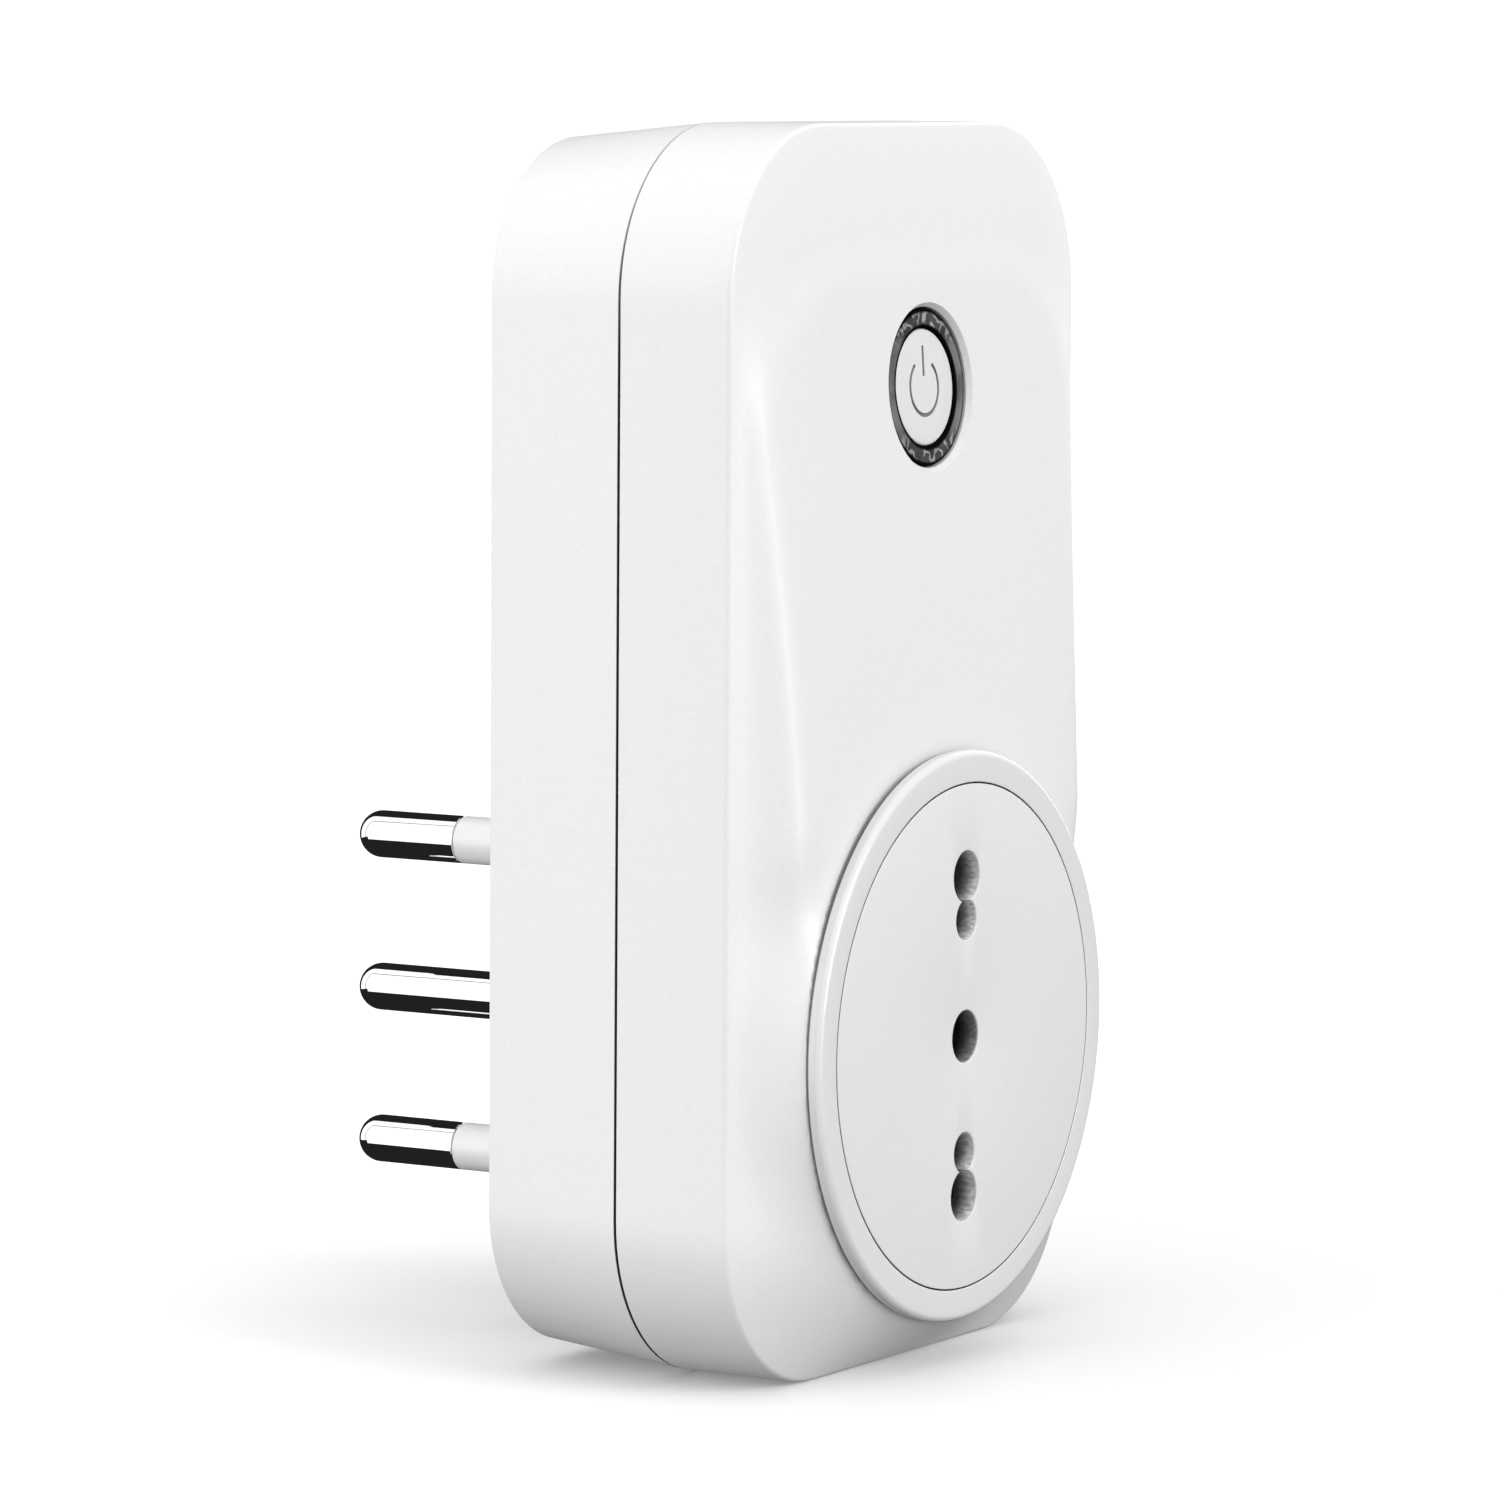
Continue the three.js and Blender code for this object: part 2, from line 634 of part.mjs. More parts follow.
function pins() {
  const block = slab(
    stadium(PLINTH_HALF - WALL - GAP, PLINTH_REACH - WALL - GAP, SOCKET_Z),
    CARRIER_Y,
    PLINTH_Y - WALL - GAP,
    10,
  );
  const bores = [-1, 0, 1].map((i) => rod(0, SOCKET_Z + i * PIN_PITCH, PIN_R + GAP, HEAD_Y, TIP_Y));
  add("pin_carrier", carve(block, bores), WHITE);
  add("earth_pin", earthPin(SOCKET_Z), NICKEL);
  for (const [name, side] of [["neutral", -1], ["live", 1]]) {
    const z = SOCKET_Z + side * PIN_PITCH;
    add(`${name}_pin`, sleevedPin(z), NICKEL);
    const sleeve = ring(0, z, SLEEVE_INNER_R, PIN_R, SLEEVE_START, PLINTH_Y + SLEEVE_LENGTH - GAP, 24);
    add(`${name}_pin_sleeve`, sleeve, WHITE);
  }
}

// Metal straps from the pins to the contacts and the board
function straps() {
  const front = CLIP_BACK + GAP;
  const back = HEAD_Y - GAP;
  const link = (z) => [
    [front, z - 2.5],
    [front + STRAP_THICK, z - 2.5],
    [front + STRAP_THICK, z + 1],
    [back, z + 1],
    [back, z + 2.6],
    [back - STRAP_THICK, z + 2.6],
    [back - STRAP_THICK, z + 1 + STRAP_THICK],
    [front, z + 1 + STRAP_THICK],
  ];
  add("neutral_strap", strip(link(SOCKET_Z - PIN_PITCH), -STRAP_HALF, STRAP_HALF), BRASS);
  add("earth_strap", strip(link(SOCKET_Z), -STRAP_HALF, STRAP_HALF), BRASS);
  const liveIn = [
    [back - STRAP_THICK, SOCKET_Z + PIN_PITCH - 2.5],
    [back, SOCKET_Z + PIN_PITCH - 2.5],
    [back, LIVE_IN_TOP],
    [PART_Y, LIVE_IN_TOP],
    [PART_Y, LIVE_IN_TOP - STRAP_THICK],
    [back - STRAP_THICK, LIVE_IN_TOP - STRAP_THICK],
  ];
  add("live_pin_strap", strip(liveIn, -STRAP_HALF, STRAP_HALF), BRASS);
  const liveOut = [
    [front, SOCKET_Z + 8],
    [front + STRAP_THICK, SOCKET_Z + 8],
    [front + STRAP_THICK, LIVE_OUT_TOP],
    [PART_Y, LIVE_OUT_TOP],
    [PART_Y, LIVE_OUT_TOP - STRAP_THICK],
    [front, LIVE_OUT_TOP - STRAP_THICK],
  ];
  add("live_contact_strap", strip(liveOut, -STRAP_HALF, STRAP_HALF), BRASS);
}

// Button, light ring and switch
function controls() {
  const [buttonFlangeR, buttonFlange] = BUTTON_FLANGE;
  const button = turned(0, BUTTON_Z, [
    [0, BUTTON_Y],
    [BUTTON_R - 0.3, BUTTON_Y],
    [BUTTON_R, BUTTON_Y + 0.3],
    [BUTTON_R, BUTTON_BACK - buttonFlange],
    [buttonFlangeR, BUTTON_BACK - buttonFlange],
    [buttonFlangeR, BUTTON_BACK],
    [0, BUTTON_BACK],
  ]);
  add("power_button", leanBack(button), WHITE);
  const [ringFlangeR, ringFlange] = RING_FLANGE;
  const lightRing = turned(0, BUTTON_Z, [
    [RING_INNER_R, RING_Y],
    [RING_R, RING_Y],
    [RING_R, RING_BACK - ringFlange],
    [ringFlangeR, RING_BACK - ringFlange],
    [ringFlangeR, RING_BACK],
    [RING_INNER_R, RING_BACK],
    [RING_INNER_R, RING_Y],
  ]);
  add("light_ring", leanBack(lightRing), SMOKE);
  const switchBody = box(
    -SWITCH_HALF,
    SWITCH_HALF,
    SWITCH_Y,
    BOARD_Y - GAP,
    BUTTON_Z - SWITCH_HALF,
    BUTTON_Z + SWITCH_HALF,
  );
  const well = rod(0, BUTTON_Z, PLUNGER_R + GAP, SWITCH_Y - 1, PLUNGER[1] + 0.6, 16);
  add("switch_body", carve(switchBody, [well]), DARK_PLASTIC);
  add("switch_plunger", rod(0, BUTTON_Z, PLUNGER_R, ...PLUNGER, 16), DARK_PLASTIC);
  [-LED_X, LED_X].forEach((x, i) => {
    const led = box(x - 0.8, x + 0.8, BOARD_Y - GAP - 0.8, BOARD_Y - GAP, BUTTON_Z - 1.5, BUTTON_Z + 1.5);
    add(`status_led_${i + 1}`, led, OUTLET_WHITE);
  });
}

// Relay: a cover over the coil, yoke, hinged armature and contact
function relay() {
  const { x0, x1, z0, z1, back } = RELAY;
  const shell = box(x0, x1, PART_Y + 1.5, back, z0, z1);
  const room = box(
    x0 + RELAY_WALL,
    x1 - RELAY_WALL,
    PART_Y,
    back - RELAY_WALL,
    z0 + RELAY_WALL,
    z1 - RELAY_WALL,
  );
  add("relay_cover", carve(shell, [room]), DARK_PLASTIC);
  add("relay_base", box(x0, x1, PART_Y, PART_Y + 1.2, z0, z1), DARK_PLASTIC);
  const spool = [
    [0, COIL.low],
    [COIL.flangeR, COIL.low],
    [COIL.flangeR, COIL.low + 1],
    [COIL.coreR, COIL.low + 1],
    [COIL.coreR, COIL.high - 1],
    [COIL.flangeR, COIL.high - 1],
    [COIL.flangeR, COIL.high],
    [0, COIL.high],
  ];
  const coil = new THREE.LatheGeometry(spool.map(([radius, z]) => new THREE.Vector2(radius, z)), 20);
  add("relay_coil", coil.rotateX(Math.PI / 2).translate(0, COIL_Y, 0), COPPER);
  const foot = PART_Y + 1.9;
  const yoke = [
    [YOKE_Y, COIL.low - 1],
    [YOKE_Y, COIL.high + 1],
    [YOKE_Y + 1, COIL.high + 1],
    [YOKE_Y + 1, COIL.low - 2],
    [foot, COIL.low - 2],
    [foot, COIL.low - 1],
  ];
  add("relay_yoke", strip(yoke, -3.5, 3.5), STEEL);
  const armature = [
    [foot, ARMATURE_Z],
    [foot, ARMATURE_Z + 0.8],
    [YOKE_Y + 1.5, ARMATURE_Z + 0.8],
    [YOKE_Y + 1.5, ARMATURE_Z],
  ];
  add("relay_armature", strip(armature, -3, 3), STEEL);
  add("relay_contact", box(-2, 2, PART_Y + 1.5, PART_Y + 2, 76, COIL.high + 0.5), BRASS);
}

// Main board with its supply parts, and the upright radio board
function electronics() {
  const outline = roundedPlate(BOARD.x0, BOARD.x1, BOARD.z0, BOARD.z1, 1);
  const board = slab(outline, BOARD_Y, BOARD_BACK, 4);
  const { shankR, headR, tipY, headHeight } = BOARD_SCREW;
  const screwHoles = BOARD_SCREWS.map(([x, z]) => rod(x, z, shankR + GAP + 0.1, BOARD_Y - 1, PART_Y + 1, 12));
  add("main_board", carve(board, screwHoles), BOARD_GREEN);
  const screw = [
    [0, tipY],
    [shankR, tipY + 0.6],
    [shankR, PART_Y],
    [headR, PART_Y],
    [headR, PART_Y + headHeight - 0.5],
    [headR - 0.6, PART_Y + headHeight],
    [0, PART_Y + headHeight],
  ];
  BOARD_SCREWS.forEach(([x, z], i) => add(`board_screw_${i + 1}`, turned(x, z, screw, 12), STEEL));
  add("input_capacitor", can(INPUT_CAPACITOR), CAN_BLACK);
  add("output_capacitor", can(OUTPUT_CAPACITOR), CAN_BLACK);
  add("fuse_resistor", can(FUSE_RESISTOR), BLUE_CERAMIC);
  add("filter_capacitor", block(FILTER_CAPACITOR), YELLOW_TAPE);
  add("varistor", block(VARISTOR), BLUE_CERAMIC);
  add("supply_chip", block(SUPPLY_CHIP), DARK_PLASTIC);
  add("radio_board", block(RADIO_BOARD), BOARD_GREEN);
  add("radio_shield", block(RADIO_SHIELD), TIN);
  transformer();
}

// A block that stands on the board's back
function block({ x, z, height, foot = 0 }) {
  return box(...x, PART_Y + foot, PART_Y + height, ...z);
}

// A round part that stands on the board's back
function can({ x, z, radius, height }) {
  const profile = [
    [0, PART_Y],
    [radius, PART_Y],
    [radius, PART_Y + height - 0.4],
    [radius - 0.4, PART_Y + height],
    [0, PART_Y + height],
  ];
  return turned(x, z, profile, 20);
}

// A core around its winding
function transformer() {
  const { x, z, height, wall, leg, bridge } = TRANSFORMER;
  const inside = { x: [x[0] + wall, x[1] - wall], z: [z[0] + leg, z[1] - leg] };
  const opening = block({ ...inside, foot: -1, height: height - bridge });
  add("transformer_core", carve(block(TRANSFORMER), [opening]), FERRITE);
  const winding = block({
    x: [inside.x[0] + GAP, inside.x[1] - GAP],
    z: [inside.z[0] + GAP, inside.z[1] - GAP],
    foot: 1,
    height: height - bridge - GAP,
  });
  add("transformer_winding", winding, YELLOW_TAPE);
}

casing();
outlet();
pins();
straps();
controls();
relay();
electronics();

const assembly = new THREE.Group();
product.position.y = -(FACE_Y + TIP_Y) / 2;
assembly.add(product);

export default assembly;
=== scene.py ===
import json
import math

import bmesh
import bpy
from mathutils import Matrix, Vector

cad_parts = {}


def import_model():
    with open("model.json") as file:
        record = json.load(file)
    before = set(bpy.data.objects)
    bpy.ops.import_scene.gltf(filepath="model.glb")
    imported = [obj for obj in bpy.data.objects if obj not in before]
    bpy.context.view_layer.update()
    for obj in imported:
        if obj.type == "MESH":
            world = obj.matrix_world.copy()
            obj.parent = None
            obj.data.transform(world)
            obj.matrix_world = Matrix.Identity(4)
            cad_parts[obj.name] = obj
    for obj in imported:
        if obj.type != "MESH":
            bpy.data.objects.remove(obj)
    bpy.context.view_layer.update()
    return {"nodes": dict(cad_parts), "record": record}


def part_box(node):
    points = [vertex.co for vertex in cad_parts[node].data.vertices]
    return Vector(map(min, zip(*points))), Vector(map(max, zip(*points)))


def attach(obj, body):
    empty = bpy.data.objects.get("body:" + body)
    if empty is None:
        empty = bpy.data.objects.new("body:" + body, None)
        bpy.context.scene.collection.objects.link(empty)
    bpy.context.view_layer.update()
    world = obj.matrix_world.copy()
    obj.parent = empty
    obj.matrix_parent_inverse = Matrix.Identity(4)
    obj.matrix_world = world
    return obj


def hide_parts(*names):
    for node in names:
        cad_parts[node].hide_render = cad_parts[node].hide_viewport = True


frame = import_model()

# Shapes are in millimetres, with x and z as in the row frame and y counted from the casing's seam.
MM = 0.001
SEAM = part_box("front_cover")[1].y

HALF_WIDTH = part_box("front_cover")[1].x / MM
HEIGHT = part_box("front_cover")[1].z / MM
CORNER_R = HALF_WIDTH / 2
FRONT_DEPTH = 10.1  # seam to the front rim
REAR_DEPTH = 12.8  # seam to the rear face
REAR_DRAFT = 1.3  # how far the rear face's outline is inside the seam's
WALL = 2.0
RIM_ROUND = 0.3
REAR_ROUND = 0.3
SEAM_GAP = 0.2
SEAM_GAP_TOP = 0.08
SEAM_NARROWS = (80, 98)  # heights between which the gap narrows
SEAM_EDGE = 0.04  # the broken edges of the seam
HOLLOW_END = -8.3  # where the front cover's hollow ends

PEDESTAL = 4.7  # rise of the flat that carries the outlet above the front rim
LEAN = 3.5  # how much lower the middle of the front face is at the top
LEAN_END = 36.0  # height where the lean ends
CROWN = 1.0  # drop of the front face towards its edges
CROWN_REACH = 13.0
BEVEL_SLOPE = 0.82  # at the height of BEVEL_FROM_Z and below
BEVEL_FROM_Z = 43.0
BEVEL_EASE = 0.006  # loss of the bevel's slope for each millimetre upwards
BEVEL_TURN = (76, 90)  # heights between which the bevel softens towards the top
BEVEL_TOP_PART = 0.3  # what is left of the slope above them
BEVEL_HOLLOW = 0.14  # sag of the bevel, as a part of its rise; above the turn it bulges as much
SKIRT_HOLLOW = 0.15  # sag of the slope around the outlet, as a part of its rise
SKIRT_TURN = (8, 20)  # heights between which the sag sets in
SKIRT_BLEND = (4, 18)  # above the outlet's centre, where the slope around it gives way to the bevel
SHOULDER = 1.0  # softness of the edge between the bevel and the face

SOCKET_Z = (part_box("socket_collar")[0].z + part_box("socket_collar")[1].z) / 2 / MM
COLLAR_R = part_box("socket_collar")[1].x / MM
FACE_Y = (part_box("socket_face")[0].y - SEAM) / MM
FACE_BACK = (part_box("socket_face")[1].y - SEAM) / MM
COLLAR_INNER_R = 20.6
COLLAR_SKIRT_R = 21.4
COLLAR_SKIRT_END = -12.9
COLLAR_LEDGE = 1.2  # width of the ledge that carries the outlet face
COLLAR_EDGE = 0.6
GROOVE = 0.1  # between the outlet face and its collar
EARTH_HOLE_R = 2.12
PIN_HOLE_R = 2.1
LIGHT_HOLE_R = 1.65
HOLE_FLARE = 0.14

PIN_PITCH = 13.0
LIGHT_PITCH = 9.5
PIN_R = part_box("live_pin_sleeve")[1].x / MM
TIP_Y = (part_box("earth_pin")[1].y - SEAM) / MM
PIN_HEAD_Y = (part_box("earth_pin")[0].y - SEAM) / MM
PLINTH_Y = (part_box("rear_cover")[1].y - SEAM) / MM
SLEEVE_END = (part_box("live_pin_sleeve")[1].y - SEAM) / MM
PLINTH_HALF = 9.0
PLINTH_REACH = 22.0
PLINTH_EDGE = 0.7
PLINTH_ROOT = 0.8  # the fillet at the plinth's foot
PIN_HEAD_R = 3.2
PIN_HEAD_THICK = 1.2
PIN_NECK_R = 1.3
PIN_PLAY = 0.08  # between a pin and its hole

BUTTON_Z = (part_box("power_button")[0].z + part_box("power_button")[1].z) / 2 / MM
BUTTON_BACK = (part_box("power_button")[1].y - SEAM) / MM
BUTTON_SUNK = 0.15  # the button's face lies this far behind the light ring's face
BUTTON_R = 4.72
LEAN_FROM_Y = -9.5  # the button, ring and recess lean in front of this depth
RING_Y = -11.85
BUTTON_Y = RING_Y + BUTTON_SUNK
RING_BACK = (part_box("light_ring")[1].y - SEAM) / MM
RING_INNER_R = 4.78
RING_R = 6.33
RECESS_R = 6.48
RECESS_CHAMFER = (0.33, 0.44)  # width and depth
FLANGE_THICK = 0.6  # the button's, inside
FLANGE_R = 5.6
RING_FLANGE_THICK = 0.8
RING_FLANGE_R = 8.0
SYMBOL_R = 2.25
SYMBOL_OPENING = math.radians(36)  # each side of the top
SYMBOL_BAR = (0.9, 3.35)
SYMBOL_STROKE = 0.17  # half the stroke's width

SCREW_X = (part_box("casing_screw_2")[0].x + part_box("casing_screw_2")[1].x) / 2 / MM
SCREW_LOW = (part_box("casing_screw_1")[0].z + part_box("casing_screw_1")[1].z) / 2 / MM
SCREW_HIGH = (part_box("casing_screw_3")[0].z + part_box("casing_screw_3")[1].z) / 2 / MM
SCREW_PLACES = [(x, z) for z in (SCREW_LOW, SCREW_HIGH) for x in (-SCREW_X, SCREW_X)]
BOARD_SCREW_BOXES = [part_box("board_screw_1"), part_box("board_screw_2")]
BOARD_SCREW_PLACES = [((lo.x + hi.x) / 2 / MM, (lo.z + hi.z) / 2 / MM) for lo, hi in BOARD_SCREW_BOXES]
BOSS_R = 2.6
BOARD_BOSS_R = 2.2
POST_R = 3.4
SCREW_HOLE_R = 1.3
BOARD_SCREW_HOLE_R = 1.1
WELL_R = 2.5
WELL_END = 7.0


# Mesh helpers

def frame_point(x, y, z):
    """A place in millimetres, y from the seam, as a point of the row frame in metres."""
    return (x * MM, SEAM + y * MM, z * MM)


def shade(obj, angle=30):
    """Smooth shading with creases where faces meet at more than the angle."""
    for face in obj.data.polygons:
        face.use_smooth = True
    obj.data.set_sharp_from_angle(angle=math.radians(angle))


def mesh_object(name, points, faces):
    """An object from points in millimetres, with its faces turned outwards."""
    mesh = bpy.data.meshes.new(name)
    mesh.from_pydata([frame_point(*p) for p in points], [], faces)
    tidy = bmesh.new()
    tidy.from_mesh(mesh)
    bmesh.ops.remove_doubles(tidy, verts=tidy.verts, dist=1e-8)
    bmesh.ops.recalc_face_normals(tidy, faces=tidy.faces)
    tidy.to_mesh(mesh)
    tidy.free()
    obj = bpy.data.objects.new(name, mesh)
    bpy.context.scene.collection.objects.link(obj)
    shade(obj)
    return obj


def boolean(obj, tools, operation="DIFFERENCE"):
    """Cuts the tools from obj, or joins them to it, and removes them."""
    for tool in tools:
        modifier = obj.modifiers.new("boolean", "BOOLEAN")
        modifier.operation = operation
        modifier.solver = "MANIFOLD"
        modifier.object = tool
    graph = bpy.context.evaluated_depsgraph_get()
    result = bpy.data.meshes.new_from_object(obj.evaluated_get(graph))
    obj.modifiers.clear()
    obj.data = result
    for tool in tools:
        bpy.data.objects.remove(tool)
    shade(obj)
    return obj


def rounded(corners, steps=5):
    """A polyline through corners (u, v, radius), each corner rounded with an arc of its radius."""
    points = []
    for i, (u, v, radius) in enumerate(corners):
        here = Vector((u, v))
        if radius == 0:
            points.append((u, v))
            continue
        before = Vector(corners[i - 1][:2]) - here
        after = Vector(corners[(i + 1) % len(corners)][:2]) - here
        half = before.angle(after) / 2
        reach = radius / math.tan(half)
        centre = here + (before.normalized() + after.normalized()).normalized() * radius / math.sin(half)
        start = here + before.normalized() * reach - centre
        end = here + after.normalized() * reach - centre
        turn = start.angle_signed(end)
        for k in range(steps + 1):
            spoke = start.copy()
            spoke.rotate(Matrix.Rotation(-turn * k / steps, 2))
            points.append(tuple(centre + spoke))
    return points


def turned(name, x, z, profile, steps=96):
    """A piece turned about a line along y.

    Its profile of (radius, y) closes on itself or starts and ends on the axis.
    """
    open_ended = profile[0][0] == 0
    points, faces, rows = [], [], []
    for radius, y in profile:
        if radius == 0:
            rows.append([len(points)] * steps)
            points.append((x, y, z))
            continue
        rows.append(list(range(len(points), len(points) + steps)))
        for k in range(steps):
            angle = 2 * math.pi * k / steps
            points.append((x + radius * math.sin(angle), y, z + radius * math.cos(angle)))
    for i in range(len(rows) - (1 if open_ended else 0)):
        low, high = rows[i], rows[(i + 1) % len(rows)]
        for k in range(steps):
            n = (k + 1) % steps
            corners = list(dict.fromkeys([low[k], low[n], high[n], high[k]]))
            if len(corners) > 2:
                faces.append(corners)
    return mesh_object(name, points, faces)


def rod(x, z, radius, y0, y1, steps=64):
    return turned("tool", x, z, [(0, y0), (radius, y0), (radius, y1), (0, y1)], steps)


def block(x0, x1, y0, y1, z0, z1):
    points = [(x, y, z) for x in (x0, x1) for y in (y0, y1) for z in (z0, z1)]
    faces = [(0, 1, 3, 2), (4, 6, 7, 5), (0, 4, 5, 1), (2, 3, 7, 6), (0, 2, 6, 4), (1, 5, 7, 3)]
    return mesh_object("tool", points, faces)


# Casing

CORNER_STEPS = 20
SIDE_STEPS = 60
END_STEPS = 14


def outline(inset):
    """The casing's outline in x and z, moved inwards: its right half upwards, then the mirror of that."""
    half = HALF_WIDTH - inset
    radius = max(CORNER_R - inset, 0.5)
    low, high = inset + radius, HEIGHT - inset - radius
    flat = half - radius
    right = [(flat * i / END_STEPS, inset) for i in range(1, END_STEPS)]
    for i in range(CORNER_STEPS + 1):
        angle = math.pi / 2 * (i / CORNER_STEPS - 1)
        right.append((flat + radius * math.cos(angle), low + radius * math.sin(angle)))
    right += [(half, low + (high - low) * i / SIDE_STEPS) for i in range(1, SIDE_STEPS)]
    for i in range(CORNER_STEPS + 1):
        angle = math.pi / 2 * i / CORNER_STEPS
        right.append((flat + radius * math.cos(angle), high + radius * math.sin(angle)))
    right += [(flat * i / END_STEPS, HEIGHT - inset) for i in range(END_STEPS - 1, 0, -1)]
    return right + [(-x, z) for x, z in reversed(right)]


def loft(name, loops):
    """A closed body through loops of points, its ends filled across from right to left."""
    count = len(loops[0])
    faces = []
    for k in range(len(loops) - 1):
        for i in range(count):
            a, b = k * count + i, k * count + (i + 1) % count
            faces.append((a, b, b + count, a + count))
    last = (len(loops) - 1) * count
    for i in range(count // 2 - 1):
        j = count - 1 - i
        faces.append((i, j, j - 1, i + 1))
        faces.append((last + i, last + i + 1, last + j - 1, last + j))
    return mesh_object(name, [p for loop in loops for p in loop], faces)


def seam_half(z):
    """Half the gap between the covers, which narrows towards the top."""
    return (SEAM_GAP + (SEAM_GAP_TOP - SEAM_GAP) * smooth_step(z, *SEAM_NARROWS)) / 2


def level_loft(name, stations):
    """A loft through the casing's outline at each (inset, y)."""
    return loft(name, [[(x, y, z) for x, z in outline(inset)] for inset, y in stations])


def rim_distance(x, z):
    """How far inside the casing's outline a place is."""
    dx = abs(x) - (HALF_WIDTH - CORNER_R)
    dz = abs(z - HEIGHT / 2) - (HEIGHT / 2 - CORNER_R)
    return CORNER_R - math.hypot(max(dx, 0), max(dz, 0)) - min(max(dx, dz), 0)


def smooth_min(a, b, width):
    h = min(max(0.5 + 0.5 * (b - a) / width, 0), 1)
    return b + (a - b) * h - width * h * (1 - h)


def smooth_step(value, start, end):
    t = min(max((value - start) / (end - start), 0), 1)
    return t * t * (3 - 2 * t)


def lean_rise(z):
    """Rise of the middle of the front face above its rim: an S-curve from the top down to the pedestal."""
    t = min(max((z - LEAN_END) / (HEIGHT - LEAN_END), 0), 1)
    return PEDESTAL - LEAN * (t + smooth_step(t, 0, 1)) / 2


FACE_TILT = (lean_rise(BUTTON_Z - 1) - lean_rise(BUTTON_Z + 1)) / 2  # slope of the front face at the button


def front_rise(x, z):
    """How far the front face stands above its rim at a place: a hollow bevel, then the crowned field."""
    inset = rim_distance(x, z)
    field = lean_rise(z) - CROWN * (1 - min(inset / CROWN_REACH, 1)) ** 2
    top = smooth_step(z, *BEVEL_TURN)
    steep = (BEVEL_SLOPE - BEVEL_EASE * max(z - BEVEL_FROM_Z, 0)) * (1 - (1 - BEVEL_TOP_PART) * top)
    along = min(inset * steep / field, 1)
    bevel = steep * inset - BEVEL_HOLLOW * (1 - 2 * top) * field * math.sin(math.pi * along)
    tongue = smooth_min(bevel, field, min(SHOULDER, field / 2))
    beyond = max(math.hypot(x, z - SOCKET_Z) - COLLAR_R, 0)
    climbed = inset / (inset + beyond + 1e-6)
    sag = SKIRT_HOLLOW * smooth_step(z, *SKIRT_TURN)
    skirt = PEDESTAL * (climbed - sag * math.sin(math.pi * climbed))
    mix = smooth_step(z - SOCKET_Z, *SKIRT_BLEND)
    return max(skirt + (tongue - skirt) * mix, 0)


def front_loop(inset):
    """The front cover's surface at one inset, its rim rounded."""
    drop = 0
    if inset < RIM_ROUND:
        drop = RIM_ROUND - math.sqrt(RIM_ROUND**2 - (RIM_ROUND - inset) ** 2)
    return [(x, drop - FRONT_DEPTH - front_rise(x, z), z) for x, z in outline(inset)]


def lean_back(obj):
    """Tilts the outer part of a piece on the button's axis as the front face leans there."""
    for vertex in obj.data.vertices:
        if vertex.co.y < SEAM + LEAN_FROM_Y * MM:
            vertex.co.y += FACE_TILT * (vertex.co.z - BUTTON_Z * MM)
    return obj


def recess_tool():
    """The well of the light ring, with a chamfered mouth that follows the leaning face."""
    mouth = -FRONT_DEPTH - lean_rise(BUTTON_Z)
    wide, deep = RECESS_CHAMFER
    profile = [
        (0, 0),
        (RECESS_R, 0),
        (RECESS_R, mouth + deep),
        (RECESS_R + 3 * wide, mouth - 2 * deep),
        (0, mouth - 2 * deep),
    ]
    tool = turned("tool", 0, BUTTON_Z, profile, 128)
    return lean_back(tool)


def front_cover():
    fillet = [RIM_ROUND * (1 - math.cos(math.pi / 2 * k / 8)) for k in range(9)]
    bevel = [RIM_ROUND + 0.2 * k for k in range(1, 36)]
    field = [bevel[-1] + 0.9 * k for k in range(1, 18)]
    seam_edge = [(SEAM_EDGE, 0), (0, SEAM_EDGE)]
    loops = [[(x, -seam_half(z) - y, z) for x, z in outline(inset)] for inset, y in seam_edge]
    loops += [front_loop(inset) for inset in fillet + bevel + field]
    cover = loft("front_shell", loops)
    boolean(cover, [
        level_loft("tool", [(WALL, 1), (WALL, HOLLOW_END)]),
        rod(0, SOCKET_Z, COLLAR_SKIRT_R - 1.4, COLLAR_SKIRT_END + 0.3, 0, 128),
        rod(0, SOCKET_Z, COLLAR_SKIRT_R + 0.1, -20, -9, 160),
        recess_tool(),
    ])
    root = HOLLOW_END - 0.3
    boolean(cover, [rod(x, z, BOSS_R, root, -0.3, 32) for x, z in SCREW_PLACES], "UNION")
    boolean(cover, [rod(x, z, BOARD_BOSS_R, root, -2.3, 32) for x, z in BOARD_SCREW_PLACES], "UNION")
    boolean(cover, [rod(x, z, SCREW_HOLE_R, -7, 2, 24) for x, z in SCREW_PLACES])
    boolean(cover, [rod(x, z, BOARD_SCREW_HOLE_R, -7.5, 2, 24) for x, z in BOARD_SCREW_PLACES])
    return cover


def stadium_loft(name, stations, steps=32):
    """A body through the plinth's outline at each (inset, y)."""
    loops = []
    for inset, y in stations:
        radius, reach = PLINTH_HALF - inset, PLINTH_REACH - PLINTH_HALF
        right = []
        for side in (-1, 1):
            for k in range(steps + 1):
                angle = math.pi / 2 * (k / steps - (side < 0))
                z = SOCKET_Z + side * reach + radius * math.sin(angle)
                right.append((radius * math.cos(angle), y, z))
        right = [p for p in right if p[0] > 1e-6]
        loops.append(right + [(-x, y, z) for x, y, z in reversed(right)])
    return loft(name, loops)


